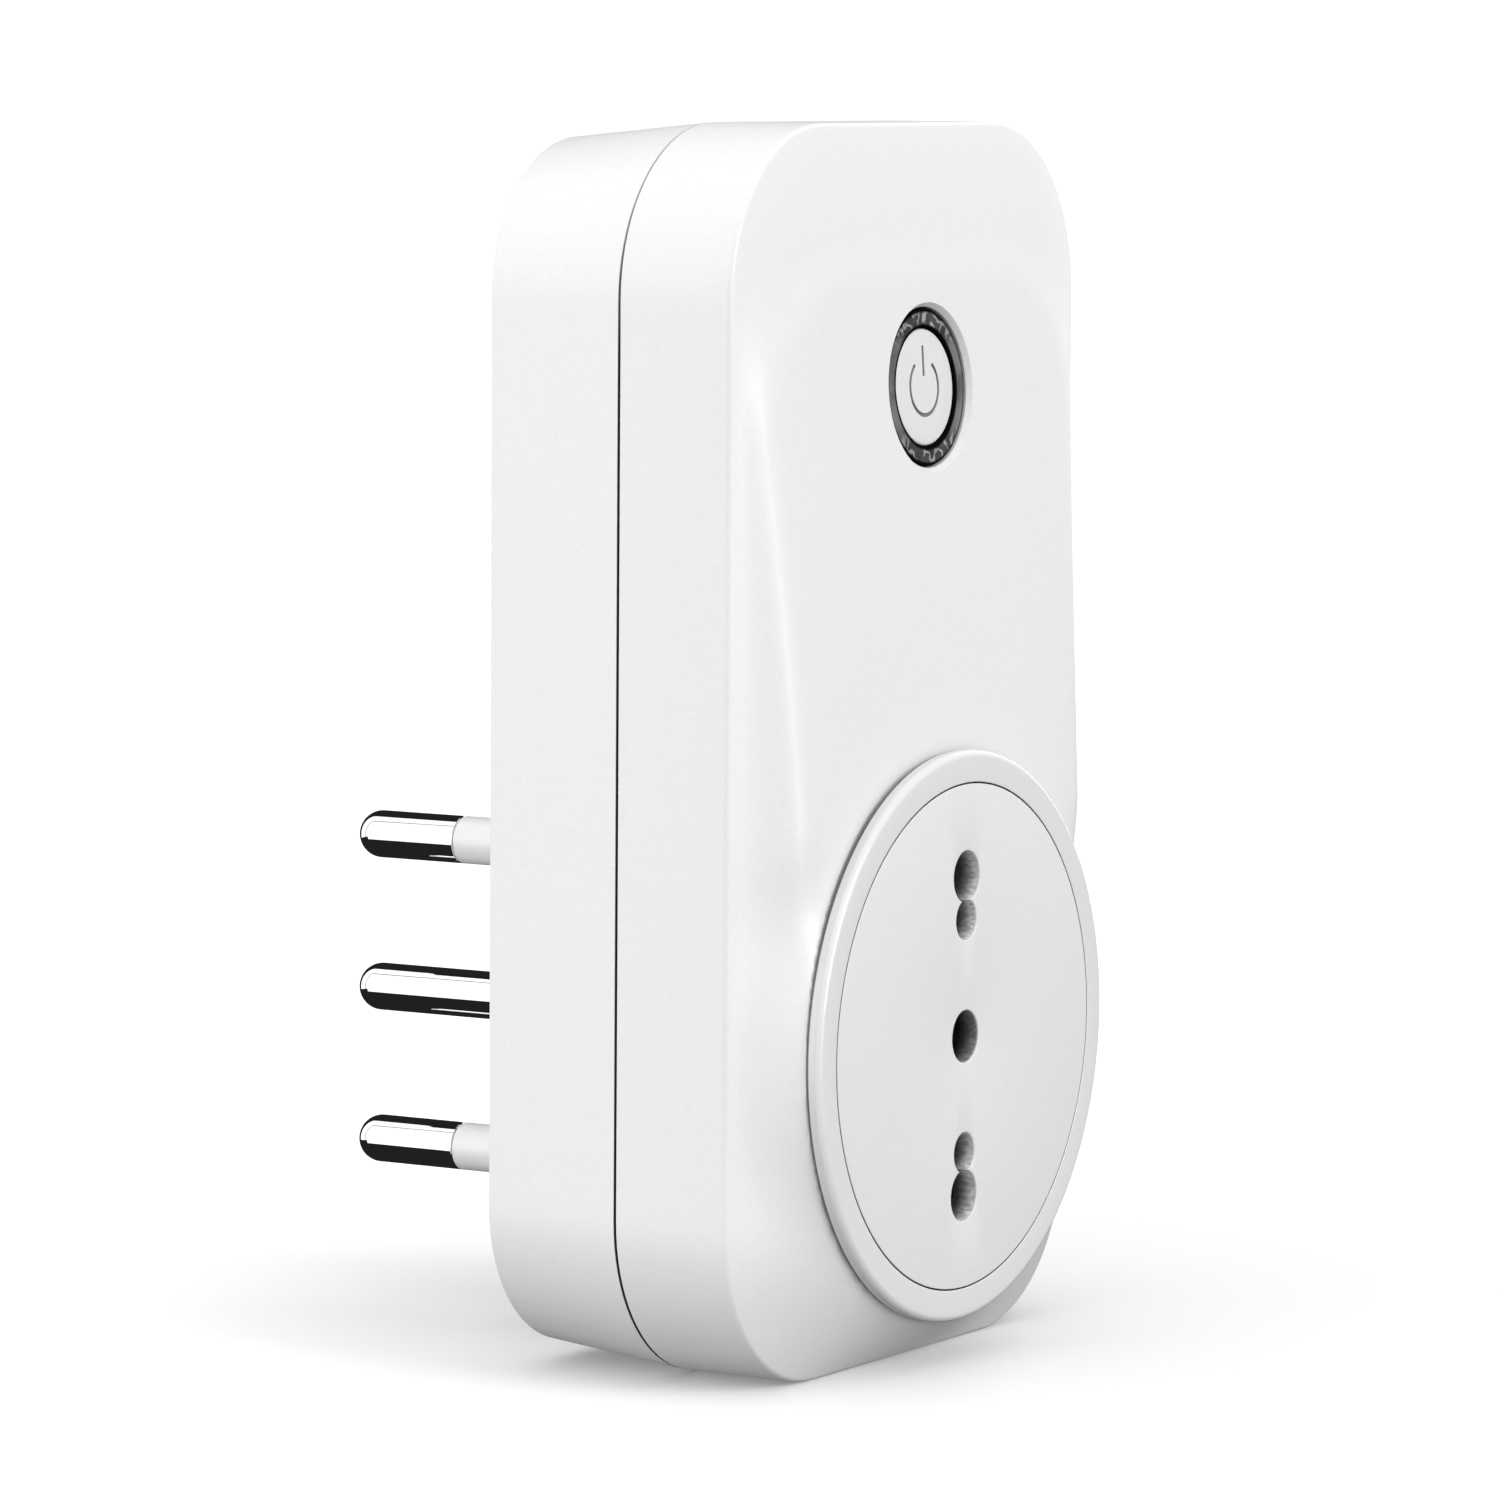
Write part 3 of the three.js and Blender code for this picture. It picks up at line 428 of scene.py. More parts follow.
def rear_cover():
    slope = REAR_DRAFT / REAR_DEPTH
    seam_edge = [(SEAM_EDGE, 0), (slope * SEAM_GAP, SEAM_EDGE)]
    loops = [[(x, seam_half(z) + y, z) for x, z in outline(inset)] for inset, y in seam_edge]
    back = rounded([(0, 0, 0), (REAR_DRAFT, REAR_DEPTH, REAR_ROUND), (10, REAR_DEPTH, 0)], 8)
    loops += [[(x, y, z) for x, z in outline(inset)] for inset, y in back[1:]]
    cover = loft("rear_shell", loops)
    edge = rounded([(0, REAR_DEPTH, 0), (0, PLINTH_Y, PLINTH_EDGE), (3, PLINTH_Y, 0)], 6)
    root = [(-PLINTH_ROOT, REAR_DEPTH - 0.5), (-PLINTH_ROOT, REAR_DEPTH)]
    for k in range(1, 7):
        angle = math.pi / 2 * k / 6
        out, up = 1 - math.sin(angle), 1 - math.cos(angle)
        root.append((-PLINTH_ROOT * out, REAR_DEPTH + PLINTH_ROOT * up))
    plinth = stadium_loft("tool", [*root, *edge[1:]])
    boolean(cover, [plinth], "UNION")
    boolean(cover, [
        level_loft("tool", [(WALL + REAR_DRAFT, REAR_DEPTH - WALL), (WALL, -1)]),
        stadium_loft("tool", [(WALL, 5), (WALL, PLINTH_Y - WALL)]),
    ])
    boolean(cover, [rod(x, z, POST_R, 0.3, REAR_DEPTH - 0.6, 40) for x, z in SCREW_PLACES], "UNION")
    tools = [rod(x, z, SCREW_HOLE_R, -1, 20, 24) for x, z in SCREW_PLACES]
    tools += [flared_hole(x, z, WELL_R, WELL_END, REAR_DEPTH, 0.3) for x, z in SCREW_PLACES]
    pin_heights = [SOCKET_Z + i * PIN_PITCH for i in (-1, 0, 1)]
    tools += [flared_hole(0, z, PIN_R + PIN_PLAY, 5, PLINTH_Y, 0.25) for z in pin_heights]
    return boolean(cover, tools)


def flared_hole(x, z, radius, start, face, soft, steps=64):
    """A tool for a hole from a start to a flat face, its mouth rounded, that reaches past the face."""
    side = 1 if face > start else -1
    flare = [
        (radius + soft * (1 - math.cos(a)), face - side * soft * (1 - math.sin(a)))
        for a in (math.pi / 2 * k / 5 for k in range(6))
    ]
    profile = [(0, start), (radius, start), *flare, (radius + soft, face + side), (0, face + side)]
    return turned("tool", x, z, profile, steps)


# Outlet

def socket_collar():
    seat = -FRONT_DEPTH - PEDESTAL - 0.1
    ledge = FACE_BACK + 0.3
    profile = rounded([
        (COLLAR_INNER_R, FACE_Y, 0.12),
        (COLLAR_R, FACE_Y, COLLAR_EDGE),
        (COLLAR_R, seat, 0.06),
        (COLLAR_SKIRT_R, seat, 0),
        (COLLAR_SKIRT_R, COLLAR_SKIRT_END, 0),
        (COLLAR_INNER_R - COLLAR_LEDGE, COLLAR_SKIRT_END, 0),
        (COLLAR_INNER_R - COLLAR_LEDGE, ledge, 0),
        (COLLAR_INNER_R, ledge, 0),
    ], 10)
    return turned("outlet_collar", 0, SOCKET_Z, profile, 256)


def socket_face():
    face_r = COLLAR_INNER_R - GROOVE
    profile = rounded([
        (0, FACE_Y, 0),
        (face_r, FACE_Y, 0.08),
        (face_r, FACE_BACK, 0),
        (0, FACE_BACK, 0),
    ], 4)
    plate = turned("outlet_plate", 0, SOCKET_Z, profile, 256)
    spots = [(0, EARTH_HOLE_R)]
    for side in (-1, 1):
        spots += [(side * PIN_PITCH, PIN_HOLE_R), (side * LIGHT_PITCH, LIGHT_HOLE_R)]
    start = FACE_BACK + 1
    holes = [flared_hole(0, SOCKET_Z + up, radius, start, FACE_Y, HOLE_FLARE, 96) for up, radius in spots]
    return boolean(plate, holes)


# Button and light ring

def symbol_stroke(points, sides=12):
    """A rod along points (x, z) on the button's face, whose lower half cuts a groove."""
    path = [Vector((x, BUTTON_Y + 0.02, BUTTON_Z + z)) for x, z in points]
    verts, faces = [], []
    for i, here in enumerate(path):
        ahead = (path[min(i + 1, len(path) - 1)] - path[max(i - 1, 0)]).normalized()
        side = ahead.cross(Vector((0, 1, 0)))
        for k in range(sides):
            angle = 2 * math.pi * k / sides
            spot = here + SYMBOL_STROKE * (side * math.cos(angle) + Vector((0, 1, 0)) * math.sin(angle))
            verts.append(tuple(spot))
    for i in range(len(path) - 1):
        for k in range(sides):
            a, b = i * sides + k, i * sides + (k + 1) % sides
            faces.append((a, b, b + sides, a + sides))
    faces.append(tuple(range(sides)))
    faces.append(tuple(range(len(verts) - sides, len(verts))))
    return mesh_object("tool", verts, faces)


def power_button():
    profile = rounded([
        (0, BUTTON_Y, 0),
        (BUTTON_R, BUTTON_Y, 0.25),
        (BUTTON_R, BUTTON_BACK - FLANGE_THICK, 0),
        (FLANGE_R, BUTTON_BACK - FLANGE_THICK, 0),
        (FLANGE_R, BUTTON_BACK, 0),
        (0, BUTTON_BACK, 0),
    ], 6)
    button = turned("button_cap", 0, BUTTON_Z, profile, 128)
    turn = 2 * math.pi - 2 * SYMBOL_OPENING
    angles = [SYMBOL_OPENING + turn * k / 48 for k in range(49)]
    arc = [(SYMBOL_R * math.sin(angle), SYMBOL_R * math.cos(angle)) for angle in angles]
    bar = [(0, height) for height in SYMBOL_BAR]
    return lean_back(boolean(button, [symbol_stroke(arc), symbol_stroke(bar)]))


def light_ring():
    profile = rounded([
        (RING_INNER_R, RING_Y, 0.08),
        (RING_R, RING_Y, 0.25),
        (RING_R, RING_BACK - RING_FLANGE_THICK, 0),
        (RING_FLANGE_R, RING_BACK - RING_FLANGE_THICK, 0),
        (RING_FLANGE_R, RING_BACK, 0),
        (RING_INNER_R, RING_BACK, 0),
    ], 5)
    return lean_back(turned("halo_ring", 0, BUTTON_Z, profile, 128))


# Pins

def pin_tip(shoulder):
    """The bare part of a pin from a shoulder to its round tip, as a profile."""
    points = [(PIN_R, shoulder)]
    for k in range(17):
        angle = math.pi / 2 * k / 16
        points.append((PIN_R * math.cos(angle) if k < 16 else 0, TIP_Y - PIN_R + PIN_R * math.sin(angle)))
    return points


def pins():
    """The earth pin, then the neutral and the live one, each with its sleeve."""
    head_end, neck_end, bevel = PIN_HEAD_Y + PIN_HEAD_THICK, SLEEVE_END + 0.05, 0.08
    head = [(0, PIN_HEAD_Y), (PIN_HEAD_R, PIN_HEAD_Y), (PIN_HEAD_R, head_end)]
    neck = [(PIN_NECK_R, head_end), (PIN_NECK_R, neck_end), (PIN_R - bevel, neck_end)]
    sleeve_front = (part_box("live_pin_sleeve")[0].y - SEAM) / MM
    sleeve_bore = PIN_NECK_R + 0.05
    made = [turned("bare_earth_pin", 0, SOCKET_Z, [*head, *pin_tip(head_end)], 96)]
    for name, side in (("neutral", -1), ("live", 1)):
        z = SOCKET_Z + side * PIN_PITCH
        made.append(turned(f"{name}_pin_metal", 0, z, [*head, *neck, *pin_tip(neck_end + bevel)], 96))
        sleeve = rounded([
            (sleeve_bore, sleeve_front, 0),
            (PIN_R, sleeve_front, 0),
            (PIN_R, SLEEVE_END, 0.1),
            (sleeve_bore, SLEEVE_END, 0),
        ], 4)
        made.append(turned(f"{name}_pin_jacket", 0, z, sleeve, 96))
    return made


# Screws

def casing_screw(node_name):
    """A casing screw with a domed head and a cross recess."""
    lo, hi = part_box(node_name)
    x, z = (lo.x + hi.x) / 2 / MM, (lo.z + hi.z) / 2 / MM
    tip, top = (lo.y - SEAM) / MM, (hi.y - SEAM) / MM
    head_r, shank_r, head_thick = (hi.x - lo.x) / 2 / MM, 0.9, 1.7
    profile = rounded([
        (0, tip, 0),
        (shank_r, tip + 0.6, 0),
        (shank_r, top - head_thick, 0),
        (head_r, top - head_thick, 0),
        (head_r, top - 0.6, 0.25),
        (head_r - 0.7, top, 0.5),
        (0, top, 0),
    ])
    screw = turned(f"cross_{node_name}", x, z, profile, 48)
    arm, half, deep = 1.25, 0.28, 0.9
    return boolean(screw, [
        block(x - arm, x + arm, top - deep, top + 1, z - half, z + half),
        block(x - half, x + half, top - deep, top + 1, z - arm, z + arm),
    ])


# Materials

def new_material(name):
    """A node material and its parts: the shader, and the nodes and links to build on."""
    material = bpy.data.materials.new(name)
    material.use_nodes = True
    nodes, links = material.node_tree.nodes, material.node_tree.links
    return material, (nodes["Principled BSDF"], nodes, links)


def node(nodes, kind, **values):
    """A node with its settings and its inputs' values."""
    made = nodes.new(kind)
    for key, value in values.items():
        if hasattr(made, key):
            setattr(made, key, value)
        else:
            made.inputs[key.replace("_", " ")].default_value = value
    return made


def object_place(nodes):
    return nodes.new("ShaderNodeTexCoord").outputs["Object"]


def tinted(colour, factor):
    return (*[min(c * factor, 1) for c in colour], 1)


def add_grain(parts, scale, strength, distance):
    """A fine bump, as spark-eroded moulds leave on plastic."""
    shader, nodes, links = parts
    noise = node(nodes, "ShaderNodeTexNoise", Scale=scale, Detail=3.0, Roughness=0.6)
    links.new(object_place(nodes), noise.inputs["Vector"])
    bump = node(nodes, "ShaderNodeBump", Strength=strength, Distance=distance)
    links.new(noise.outputs["Fac"], bump.inputs["Height"])
    links.new(bump.outputs["Normal"], shader.inputs["Normal"])


def add_mottle(parts, colour, scale, amount, socket="Base Color"):
    """Slow changes of tone, or of roughness where the socket says so."""
    shader, nodes, links = parts
    noise = node(nodes, "ShaderNodeTexNoise", Scale=scale, Detail=4.0, Roughness=0.55)
    links.new(object_place(nodes), noise.inputs["Vector"])
    ramp = nodes.new("ShaderNodeValToRGB")
    ramp.color_ramp.elements[0].position = 0.3
    ramp.color_ramp.elements[1].position = 0.7
    ramp.color_ramp.elements[0].color = tinted(colour, 1 - amount)
    ramp.color_ramp.elements[1].color = tinted(colour, 1 + amount)
    links.new(noise.outputs["Fac"], ramp.inputs["Fac"])
    links.new(ramp.outputs["Color"], shader.inputs[socket])


def plastic(name, colour, roughness, grain=0.25, mottle=0.015, patches=0.06):
    """A moulded plastic, its tone mottled and its roughness patchy."""
    material, parts = new_material(name)
    add_mottle(parts, colour, 2600, mottle)
    add_mottle(parts, (roughness,) * 3, 900, patches, "Roughness")
    add_grain(parts, 4200, grain, 0.06 * MM)
    parts[0].inputs["IOR"].default_value = 1.49
    return material


def metal(name, colour, roughness, scratch=0.1, stretch=(1, 1, 1)):
    """A metal whose roughness varies finely, stretched along an axis where it is brushed."""
    material, parts = new_material(name)
    shader, nodes, links = parts
    shader.inputs["Metallic"].default_value = 1.0
    add_mottle(parts, colour, 500, 0.04)
    place = node(nodes, "ShaderNodeMapping")
    place.inputs["Scale"].default_value = stretch
    links.new(object_place(nodes), place.inputs["Vector"])
    noise = node(nodes, "ShaderNodeTexNoise", Scale=3000.0, Detail=2.0)
    links.new(place.outputs["Vector"], noise.inputs["Vector"])
    spread = node(nodes, "ShaderNodeMapRange")
    spread.inputs["To Min"].default_value = roughness
    spread.inputs["To Max"].default_value = roughness + scratch
    links.new(noise.outputs["Fac"], spread.inputs["Value"])
    links.new(spread.outputs["Result"], shader.inputs["Roughness"])
    return material


def math_node(parts, operation, first, second=0.0, clamp=False):
    """A math node on two values, each a socket or a number. Returns its output."""
    _, nodes, links = parts
    made = node(nodes, "ShaderNodeMath", operation=operation, use_clamp=clamp)
    for socket, value in zip(made.inputs, (first, second)):
        if isinstance(value, (int, float)):
            socket.default_value = value
        else:
            links.new(value, socket)
    return made.outputs["Value"]


def axes(parts):
    """The object's own x, y and z at the shaded place, in metres."""
    _, nodes, links = parts
    split = nodes.new("ShaderNodeSeparateXYZ")
    links.new(object_place(nodes), split.inputs["Vector"])
    return split.outputs["X"], split.outputs["Y"], split.outputs["Z"]


def ramp_value(parts, value, low, high, at_low, at_high):
    """A value carried from one range to another, smoothly and held at the ends."""
    _, nodes, links = parts
    made = node(nodes, "ShaderNodeMapRange", interpolation_type="SMOOTHSTEP")
    for name, number in (("From Min", low), ("From Max", high), ("To Min", at_low), ("To Max", at_high)):
        made.inputs[name].default_value = number
    links.new(value, made.inputs["Value"])
    return made.outputs["Result"]


def distance(parts, first, second):
    """The length of a step with two parts at right angles."""
    squares = [math_node(parts, "MULTIPLY", side, side) for side in (first, second)]
    return math_node(parts, "SQRT", math_node(parts, "ADD", *squares))


def axis_distance(parts, height):
    """Distance in metres from the line along y at x = 0 and a height in millimetres."""
    x, _, z = axes(parts)
    return distance(parts, x, math_node(parts, "SUBTRACT", z, height * MM))


def shade_colour(parts, factor):
    """Multiplies whatever feeds the base colour by a factor."""
    shader, nodes, links = parts
    base = shader.inputs["Base Color"]
    scale = node(nodes, "ShaderNodeVectorMath", operation="SCALE")
    links.new(base.links[0].from_socket, scale.inputs["Vector"])
    links.new(factor, scale.inputs["Scale"])
    links.new(scale.outputs["Vector"], base)


def parts_of(material):
    tree = material.node_tree
    return tree.nodes["Principled BSDF"], tree.nodes, tree.links


def casing_material():
    """Matte white, with painted shade in the seam between the covers, less of it at the top."""
    material = plastic("matte_white", (0.9, 0.9, 0.9), 0.4)
    parts = parts_of(material)
    _, y, z = axes(parts)
    off_seam = math_node(parts, "ABSOLUTE", math_node(parts, "SUBTRACT", y, SEAM))
    half = SEAM_GAP / 2 * MM
    # painted shade in the gap between the covers, fading towards the top
    seam_shade = ramp_value(parts, off_seam, half * 1.05, half * 1.5, 0.88, 0.0)
    low = ramp_value(parts, z, 80 * MM, 96 * MM, 1.0, 0.3)
    shade_colour(parts, math_node(parts, "SUBTRACT", 1.0, math_node(parts, "MULTIPLY", seam_shade, low)))
    return material


def plate_material():
    """The outlet's face: painted shade darkens its holes with depth, most of all the middle one, and painted
    streaks of reflection vary their walls.
    """
    material = plastic("outlet_plate_matte", (0.85, 0.85, 0.85), 0.5, grain=0.3)
    parts = parts_of(material)
    _, nodes, links = parts
    depth = math_node(parts, "SUBTRACT", axes(parts)[1], SEAM + FACE_Y * MM)
    # painted shade inside the holes: darker with depth, darkest in the middle hole
    deep = math_node(parts, "POWER", ramp_value(parts, depth, 0.1 * MM, 2.1 * MM, 1.0, 0.14), 1.6)
    middle = ramp_value(parts, axis_distance(parts, SOCKET_Z), 2.8 * MM, 3.2 * MM, 0.4, 1.0)
    inside = ramp_value(parts, depth, 0.0, 0.3 * MM, 0.0, 1.0)
    stretch = node(nodes, "ShaderNodeMapping")
    stretch.inputs["Scale"].default_value = (1, 0.4, 1)
    links.new(object_place(nodes), stretch.inputs["Vector"])
    streaks = node(nodes, "ShaderNodeTexNoise", Scale=3600.0, Detail=4.0)
    links.new(stretch.outputs["Vector"], streaks.inputs["Vector"])
    # painted streaky reflection on the holes' walls
    painted_streaks = ramp_value(parts, streaks.outputs["Fac"], 0.35, 0.65, 0.75, 1.25)
    walls = math_node(parts, "MULTIPLY", math_node(parts, "MULTIPLY", deep, middle), painted_streaks)
    blend = node(nodes, "ShaderNodeMix")
    links.new(inside, blend.inputs["Factor"])
    blend.inputs["A"].default_value = 1.0
    links.new(walls, blend.inputs["B"])
    shade_colour(parts, math_node(parts, "MULTIPLY", blend.outputs["Result"], groove_shade(parts)))
    return material


def groove_shade(parts):
    """Painted shade on the walls of the groove between the outlet's face and its collar."""
    radius = axis_distance(parts, SOCKET_Z)
    depth = math_node(parts, "SUBTRACT", axes(parts)[1], SEAM + FACE_Y * MM)
    groove_r = (COLLAR_INNER_R - GROOVE / 2) * MM
    off_groove = math_node(parts, "ABSOLUTE", math_node(parts, "SUBTRACT", radius, groove_r))
    near = ramp_value(parts, off_groove, 0.07 * MM, 0.1 * MM, 1.0, 0.0)
    sunk = ramp_value(parts, depth, 0.02 * MM, 0.08 * MM, 0.0, 0.85)
    return math_node(parts, "SUBTRACT", 1.0, math_node(parts, "MULTIPLY", near, sunk))


def collar_material():
    """The outlet's white: painted shade makes it greyer on its outer wall and dark in its groove; it is dark
    also at the joint with the cover.
    """
    material = plastic("collar_matte", (0.84, 0.84, 0.84), 0.27, grain=0.15, mottle=0.006, patches=0.01)
    parts = parts_of(material)
    y = axes(parts)[1]
    foot = SEAM - (FRONT_DEPTH + PEDESTAL) * MM
    joint = ramp_value(parts, y, foot - 0.28 * MM, foot - 0.2 * MM, 1.0, 0.15)
    edge_end = SEAM + (FACE_Y + COLLAR_EDGE) * MM
    # painted shade on the outer wall, greyer behind the rounded front edge
    wall_shade = ramp_value(parts, y, edge_end - COLLAR_EDGE / 2 * MM, edge_end, 1.0, 0.88)
    shaded = math_node(parts, "MULTIPLY", joint, wall_shade)
    shade_colour(parts, math_node(parts, "MULTIPLY", groove_shade(parts), shaded))
    return material


def button_material():
    """Satin white, with painted shade in the engraved symbol's groove."""
    material = plastic("button_satin", (0.84, 0.84, 0.84), 0.38, grain=0.12)
    parts = parts_of(material)
    _, y, z = axes(parts)
    leaned = math_node(parts, "MULTIPLY", math_node(parts, "SUBTRACT", z, BUTTON_Z * MM), FACE_TILT)
    depth = math_node(parts, "SUBTRACT", math_node(parts, "SUBTRACT", y, leaned), SEAM + BUTTON_Y * MM)
    # painted shade where the engraving lies below the button's face
    groove = ramp_value(parts, depth, 0.01 * MM, 0.08 * MM, 0.0, 1.0)
    inner = ramp_value(parts, axis_distance(parts, BUTTON_Z), 4.0 * MM, 4.1 * MM, 0.7, 0.0)
    shade_colour(parts, math_node(parts, "SUBTRACT", 1.0, math_node(parts, "MULTIPLY", groove, inner)))
    return material


def smoked_material():
    """Smoky clear plastic over a light guide: painted shade on its rims, a grey body, pale streaks painted
    as highlights at its top and bottom.
    """
    material, parts = new_material("smoky_guide")
    shader, nodes, links = parts
    radius = axis_distance(parts, BUTTON_Z)
    inside, outside = RING_INNER_R * MM, RING_R * MM
    # painted shade at the inner and outer rims, in the gaps beside the button and the recess
    inner_rim = ramp_value(parts, radius, inside + 0.18 * MM, inside + 0.42 * MM, 0.0, 1.0)
    outer_rim = ramp_value(parts, radius, outside - 0.45 * MM, outside - 0.2 * MM, 1.0, 0.0)
    body = math_node(parts, "MULTIPLY", inner_rim, outer_rim)
    away = math_node(parts, "ABSOLUTE", math_node(parts, "SUBTRACT", axes(parts)[2], BUTTON_Z * MM))
    ends = ramp_value(parts, away, 3.3 * MM, 4.4 * MM, 0.0, 1.0)
    warp = node(nodes, "ShaderNodeTexNoise", Scale=420.0, Detail=2.0)
    links.new(object_place(nodes), warp.inputs["Vector"])
    streak_wave = node(nodes, "ShaderNodeTexWave", Scale=240.0, Distortion=11.0, Detail=2.0, Detail_Scale=2.4)
    streak_wave.bands_direction = "DIAGONAL"
    links.new(object_place(nodes), streak_wave.inputs["Vector"])
    # painted highlights: pale streaks at the top and bottom, the grey body darker between them
    highlight_streaks = ramp_value(parts, streak_wave.outputs["Fac"], 0.7, 1.0, 0.0, 0.36)
    grey = math_node(parts, "SUBTRACT", 0.17, math_node(parts, "MULTIPLY", ends, 0.1))
    pale = math_node(parts, "ADD", grey, math_node(parts, "MULTIPLY", highlight_streaks, ends))
    streak = ramp_value(parts, warp.outputs["Fac"], 0.35, 0.65, 0.6, 1.2)
    tone = math_node(parts, "MULTIPLY", math_node(parts, "MULTIPLY", pale, streak), body)
    final = math_node(parts, "ADD", tone, 0.004)
    links.new(final, shader.inputs["Base Color"])
    # no reflection where the rims are shaded, so they stay dark
    links.new(math_node(parts, "MULTIPLY", body, 0.4), shader.inputs["Specular IOR Level"])
    shader.inputs["Roughness"].default_value = 0.3
    return material


def winding_material():
    """Enamelled copper wire, laid turn by turn."""
    material, parts = new_material("copper_winding")
    shader, nodes, links = parts
    shader.inputs["Metallic"].default_value = 1.0
    shader.inputs["Roughness"].default_value = 0.3
    wave = node(nodes, "ShaderNodeTexWave", bands_direction="Z", Scale=2600.0, Distortion=0.5)
    links.new(object_place(nodes), wave.inputs["Vector"])
    bump = node(nodes, "ShaderNodeBump", Strength=0.6, Distance=0.1 * MM)
    links.new(wave.outputs["Fac"], bump.inputs["Height"])
    links.new(bump.outputs["Normal"], shader.inputs["Normal"])
    add_mottle(parts, (0.62, 0.27, 0.12), 800, 0.1)
    return material


def paint(obj, material):
    obj.data.materials.clear()
    obj.data.materials.append(material)


CASING_WHITE = casing_material()
OUTLET_WHITE = collar_material()
PLATE_WHITE = plate_material()
BUTTON_WHITE = button_material()
JACKET_WHITE = plastic("jacket_satin", (0.86, 0.86, 0.86), 0.3, grain=0.05)
SHUTTER_GREY = plastic("shutter_matte", (0.42, 0.42, 0.43), 0.45)
DARK_PLASTIC = plastic("dark_moulding", (0.03, 0.03, 0.033), 0.45)
BOARD_GREEN = plastic("solder_mask", (0.012, 0.11, 0.045), 0.35, mottle=0.2)
FERRITE = plastic("ferrite", (0.05, 0.05, 0.054), 0.7, grain=0.6)
YELLOW_TAPE = plastic("yellow_film", (0.68, 0.45, 0.05), 0.3, grain=0.1)
BLUE_CERAMIC = plastic("blue_dip", (0.03, 0.12, 0.4), 0.25, grain=0.3)
CAN_BLACK = plastic("shrink_film", (0.01, 0.012, 0.02), 0.3, grain=0.1)
NICKEL = metal("polished_nickel", (0.72, 0.72, 0.73), 0.015, 0.01)
BRASS = metal("contact_brass", (0.75, 0.55, 0.22), 0.2, 0.15)
STEEL = metal("zinc_steel", (0.58, 0.59, 0.61), 0.28, 0.2)
TIN = metal("tinned_sheet", (0.74, 0.75, 0.76), 0.25, 0.15, (6, 1, 1))
SMOKED = smoked_material()
WINDING = winding_material()

SLOT_MATERIALS = {
    "casing_white": CASING_WHITE,
    "outlet_white": OUTLET_WHITE,
    "button_white": BUTTON_WHITE,
    "smoked_ring": SMOKED,
    "shutter_grey": SHUTTER_GREY,
    "sleeve_white": JACKET_WHITE,
    "pin_nickel": NICKEL,
    "contact_brass": BRASS,
    "steel": STEEL,
    "board_green": BOARD_GREEN,
    "dark_plastic": DARK_PLASTIC,
    "ferrite": FERRITE,
    "copper_coil": WINDING,
    "tin": TIN,
    "tape_yellow": YELLOW_TAPE,
    "ceramic_blue": BLUE_CERAMIC,
    "can_black": CAN_BLACK,
}


def dress(piece, body, slot, *nodes):
    """Gives a new piece its material, its body and the nodes it stands for."""
    paint(piece, SLOT_MATERIALS[slot])
    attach(piece, body)
    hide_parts(*nodes)


def assemble():
    for part in frame["record"]["subparts"]:
        paint(frame["nodes"][part["node"]], SLOT_MATERIALS[part["material_slot"]])
    dress(front_cover(), "casing", "casing_white", "front_cover")
    dress(rear_cover(), "casing", "casing_white", "rear_cover")
    dress(socket_collar(), "casing", "outlet_white", "socket_collar")
    plate = socket_face()
    dress(plate, "casing", "outlet_white", "socket_face")
    paint(plate, PLATE_WHITE)
    dress(power_button(), "button", "button_white", "power_button")
    dress(light_ring(), "casing", "smoked_ring", "light_ring")
    for number in range(1, 5):
        dress(casing_screw(f"casing_screw_{number}"), "casing", "steel", f"casing_screw_{number}")
    earth, neutral, neutral_jacket, live, live_jacket = pins()
    dress(earth, "casing", "pin_nickel", "earth_pin")
    dress(neutral, "casing", "pin_nickel", "neutral_pin")
    dress(live, "casing", "pin_nickel", "live_pin")
    dress(neutral_jacket, "casing", "sleeve_white", "neutral_pin_sleeve")
    dress(live_jacket, "casing", "sleeve_white", "live_pin_sleeve")


# Studio

YAW = math.radians(58.961)
PITCH = math.radians(5.479)
ROLL = math.radians(0.392)
CAMERA_PLACE = Vector((-0.51041, -0.31597, 0.10591))
LENS = 175.15
SENSOR = 36.0

SKY_AXIS = (-0.22, 0.05, 0.97)  # the soft light grows brighter along this direction
SKY_REACH = (-0.7, 0.85)
SKY_STRENGTH = (0.25, 1.03)
BACKDROP_STRENGTH = 1.1
MIRRORED_GREY = 0.02

FLOOR_CENTRE = (0.03, -0.03)  # of the part of the floor that is painted a little darker, as a soft shade
FLOOR_REACH = (0.04, 0.12)
FLOOR_TONE = (0.96, 1.3)


def camera():
    """The view from the left of the front, a little above."""
    forward = Vector((math.sin(YAW) * math.cos(PITCH), math.cos(YAW) * math.cos(PITCH), -math.sin(PITCH)))
    right = Vector((math.cos(YAW), -math.sin(YAW), 0))
    up = right.cross(forward)
    tilt = Matrix.Rotation(ROLL, 3, -forward)
    right, up = tilt @ right, tilt @ up
    data = bpy.data.cameras.new("camera")
    data.lens = LENS
    data.sensor_width = SENSOR
    data.clip_start = 0.01
    obj = bpy.data.objects.new("camera", data)
    turn = Matrix((right, up, -forward)).transposed().to_4x4()
    obj.matrix_world = Matrix.Translation(CAMERA_PLACE) @ turn
    bpy.context.scene.collection.objects.link(obj)
    bpy.context.scene.camera = obj


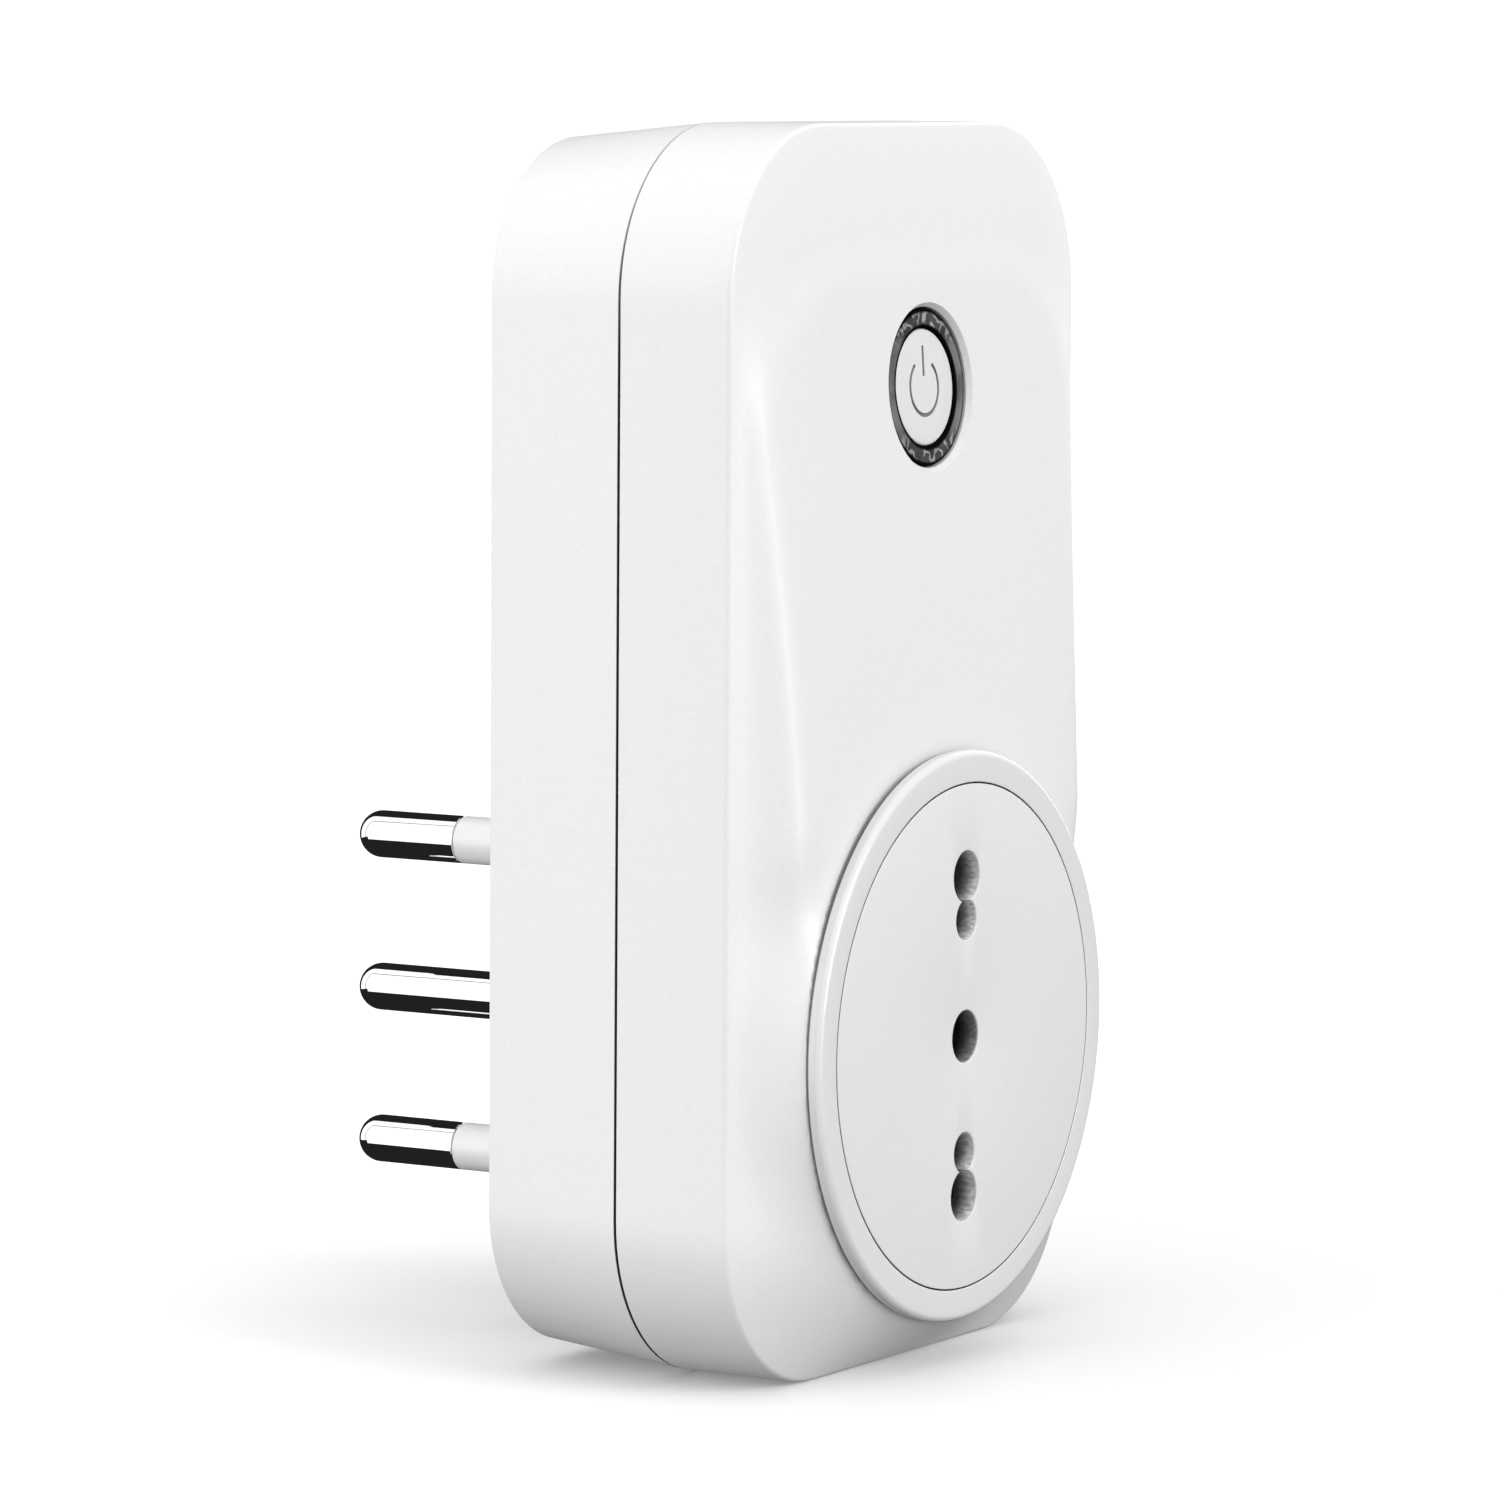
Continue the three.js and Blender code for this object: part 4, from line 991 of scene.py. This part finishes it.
def floor():
    """A white floor that takes shadows but isn't mirrored and throws no light back, painted a little darker
    around the plug as a soft shade.
    """
    size = 40.0
    mesh = bpy.data.meshes.new("studio_floor")
    corners = [(-size, -size, 0), (size, -size, 0), (size, size, 0), (-size, size, 0)]
    mesh.from_pydata(corners, [], [(0, 1, 2, 3)])
    obj = bpy.data.objects.new("studio_floor", mesh)
    bpy.context.scene.collection.objects.link(obj)
    material, parts = new_material("floor_white")
    shader, _, links = parts
    x, y, _ = axes(parts)
    steps = [math_node(parts, "SUBTRACT", place, centre) for place, centre in zip((x, y), FLOOR_CENTRE)]
    # painted soft shade: darker near the plug, brighter than white far off
    tone = ramp_value(parts, distance(parts, *steps), *FLOOR_REACH, *FLOOR_TONE)
    links.new(tone, shader.inputs["Base Color"])
    shader.inputs["Roughness"].default_value = 0.6
    shader.inputs["Specular IOR Level"].default_value = 0.2
    paint(obj, material)
    obj.visible_glossy = False
    obj.visible_diffuse = False


def softbox(name, place, target, width, height, power):
    """A rectangular light that faces a target."""
    data = bpy.data.lights.new(name, "AREA")
    data.shape = "RECTANGLE"
    data.size = width
    data.size_y = height
    data.energy = power
    obj = bpy.data.objects.new(name, data)
    obj.location = place
    obj.rotation_euler = (Vector(target) - Vector(place)).to_track_quat("-Z", "Y").to_euler()
    obj.visible_camera = False
    bpy.context.scene.collection.objects.link(obj)
    return obj


def panel(name, place, target, width, height, radiance):
    """A light that only shows as a reflection."""
    obj = softbox(name, place, target, width, height, radiance * math.pi * width * height)
    obj.visible_diffuse = False


def wall_panel(name, x0, x1, z0, z1, y, radiance):
    """A panel across the y axis, between two places along x and two heights."""
    middle = ((x0 + x1) / 2, y, (z0 + z1) / 2)
    panel(name, middle, (middle[0], 0, middle[2]), x1 - x0, z1 - z0, radiance)


def background(nodes, grey, strength=1.0):
    made = node(nodes, "ShaderNodeBackground", Strength=strength)
    made.inputs["Color"].default_value = (grey, grey, grey, 1)
    return made


def chosen(nodes, links, factor, first, second):
    """The first shader where the factor is 0 and the second where it is 1."""
    mix = nodes.new("ShaderNodeMixShader")
    links.new(factor, mix.inputs["Fac"])
    links.new(first.outputs[0], mix.inputs[1])
    links.new(second.outputs[0], mix.inputs[2])
    return mix


def world():
    """A white backdrop, soft light that fades downwards, and a dark room for what the metal mirrors."""
    made = bpy.data.worlds.new("studio")
    bpy.context.scene.world = made
    made.use_nodes = True
    nodes, links = made.node_tree.nodes, made.node_tree.links
    nodes.clear()
    direction = nodes.new("ShaderNodeTexCoord")
    tilted = node(nodes, "ShaderNodeVectorMath", operation="DOT_PRODUCT")
    tilted.inputs[1].default_value = SKY_AXIS
    links.new(direction.outputs["Generated"], tilted.inputs[0])
    parts = (None, nodes, links)
    soft = background(nodes, 1.0)
    links.new(ramp_value(parts, tilted.outputs["Value"], *SKY_REACH, *SKY_STRENGTH), soft.inputs["Strength"])
    path = nodes.new("ShaderNodeLightPath")
    mirrored = chosen(nodes, links, path.outputs["Is Glossy Ray"], soft, background(nodes, MIRRORED_GREY))
    white = background(nodes, 1.0, BACKDROP_STRENGTH)
    seen = chosen(nodes, links, path.outputs["Is Camera Ray"], mirrored, white)
    links.new(seen.outputs[0], nodes.new("ShaderNodeOutputWorld").inputs["Surface"])


def studio():
    bpy.context.scene.view_settings.view_transform = "Standard"
    world()
    floor()
    softbox("left_bank", (-0.95, 0.5, 0.1), (0, 0, 0.05), 0.9, 0.9, 4.2)
    softbox("front_bank", (0.05, -0.98, 0.45), (0, 0, 0.05), 0.5, 0.6, 4.6)
    wall_panel("pin_panel_low", -1.2, -0.31, -0.08, 1.2, 0.6, 1.5)
    wall_panel("pin_panel_high", -0.27, 0.13, -0.08, 1.2, 0.6, 1.5)
    wall_panel("edge_panel", -0.1, 0.15, -0.4, 0.4, -1.0, 9)
    panel("right_panel", (1.1, 0.1, 0.45), (0, 0.1, 0.45), 0.8, 0.9, 1.5)
    camera()


assemble()
studio()
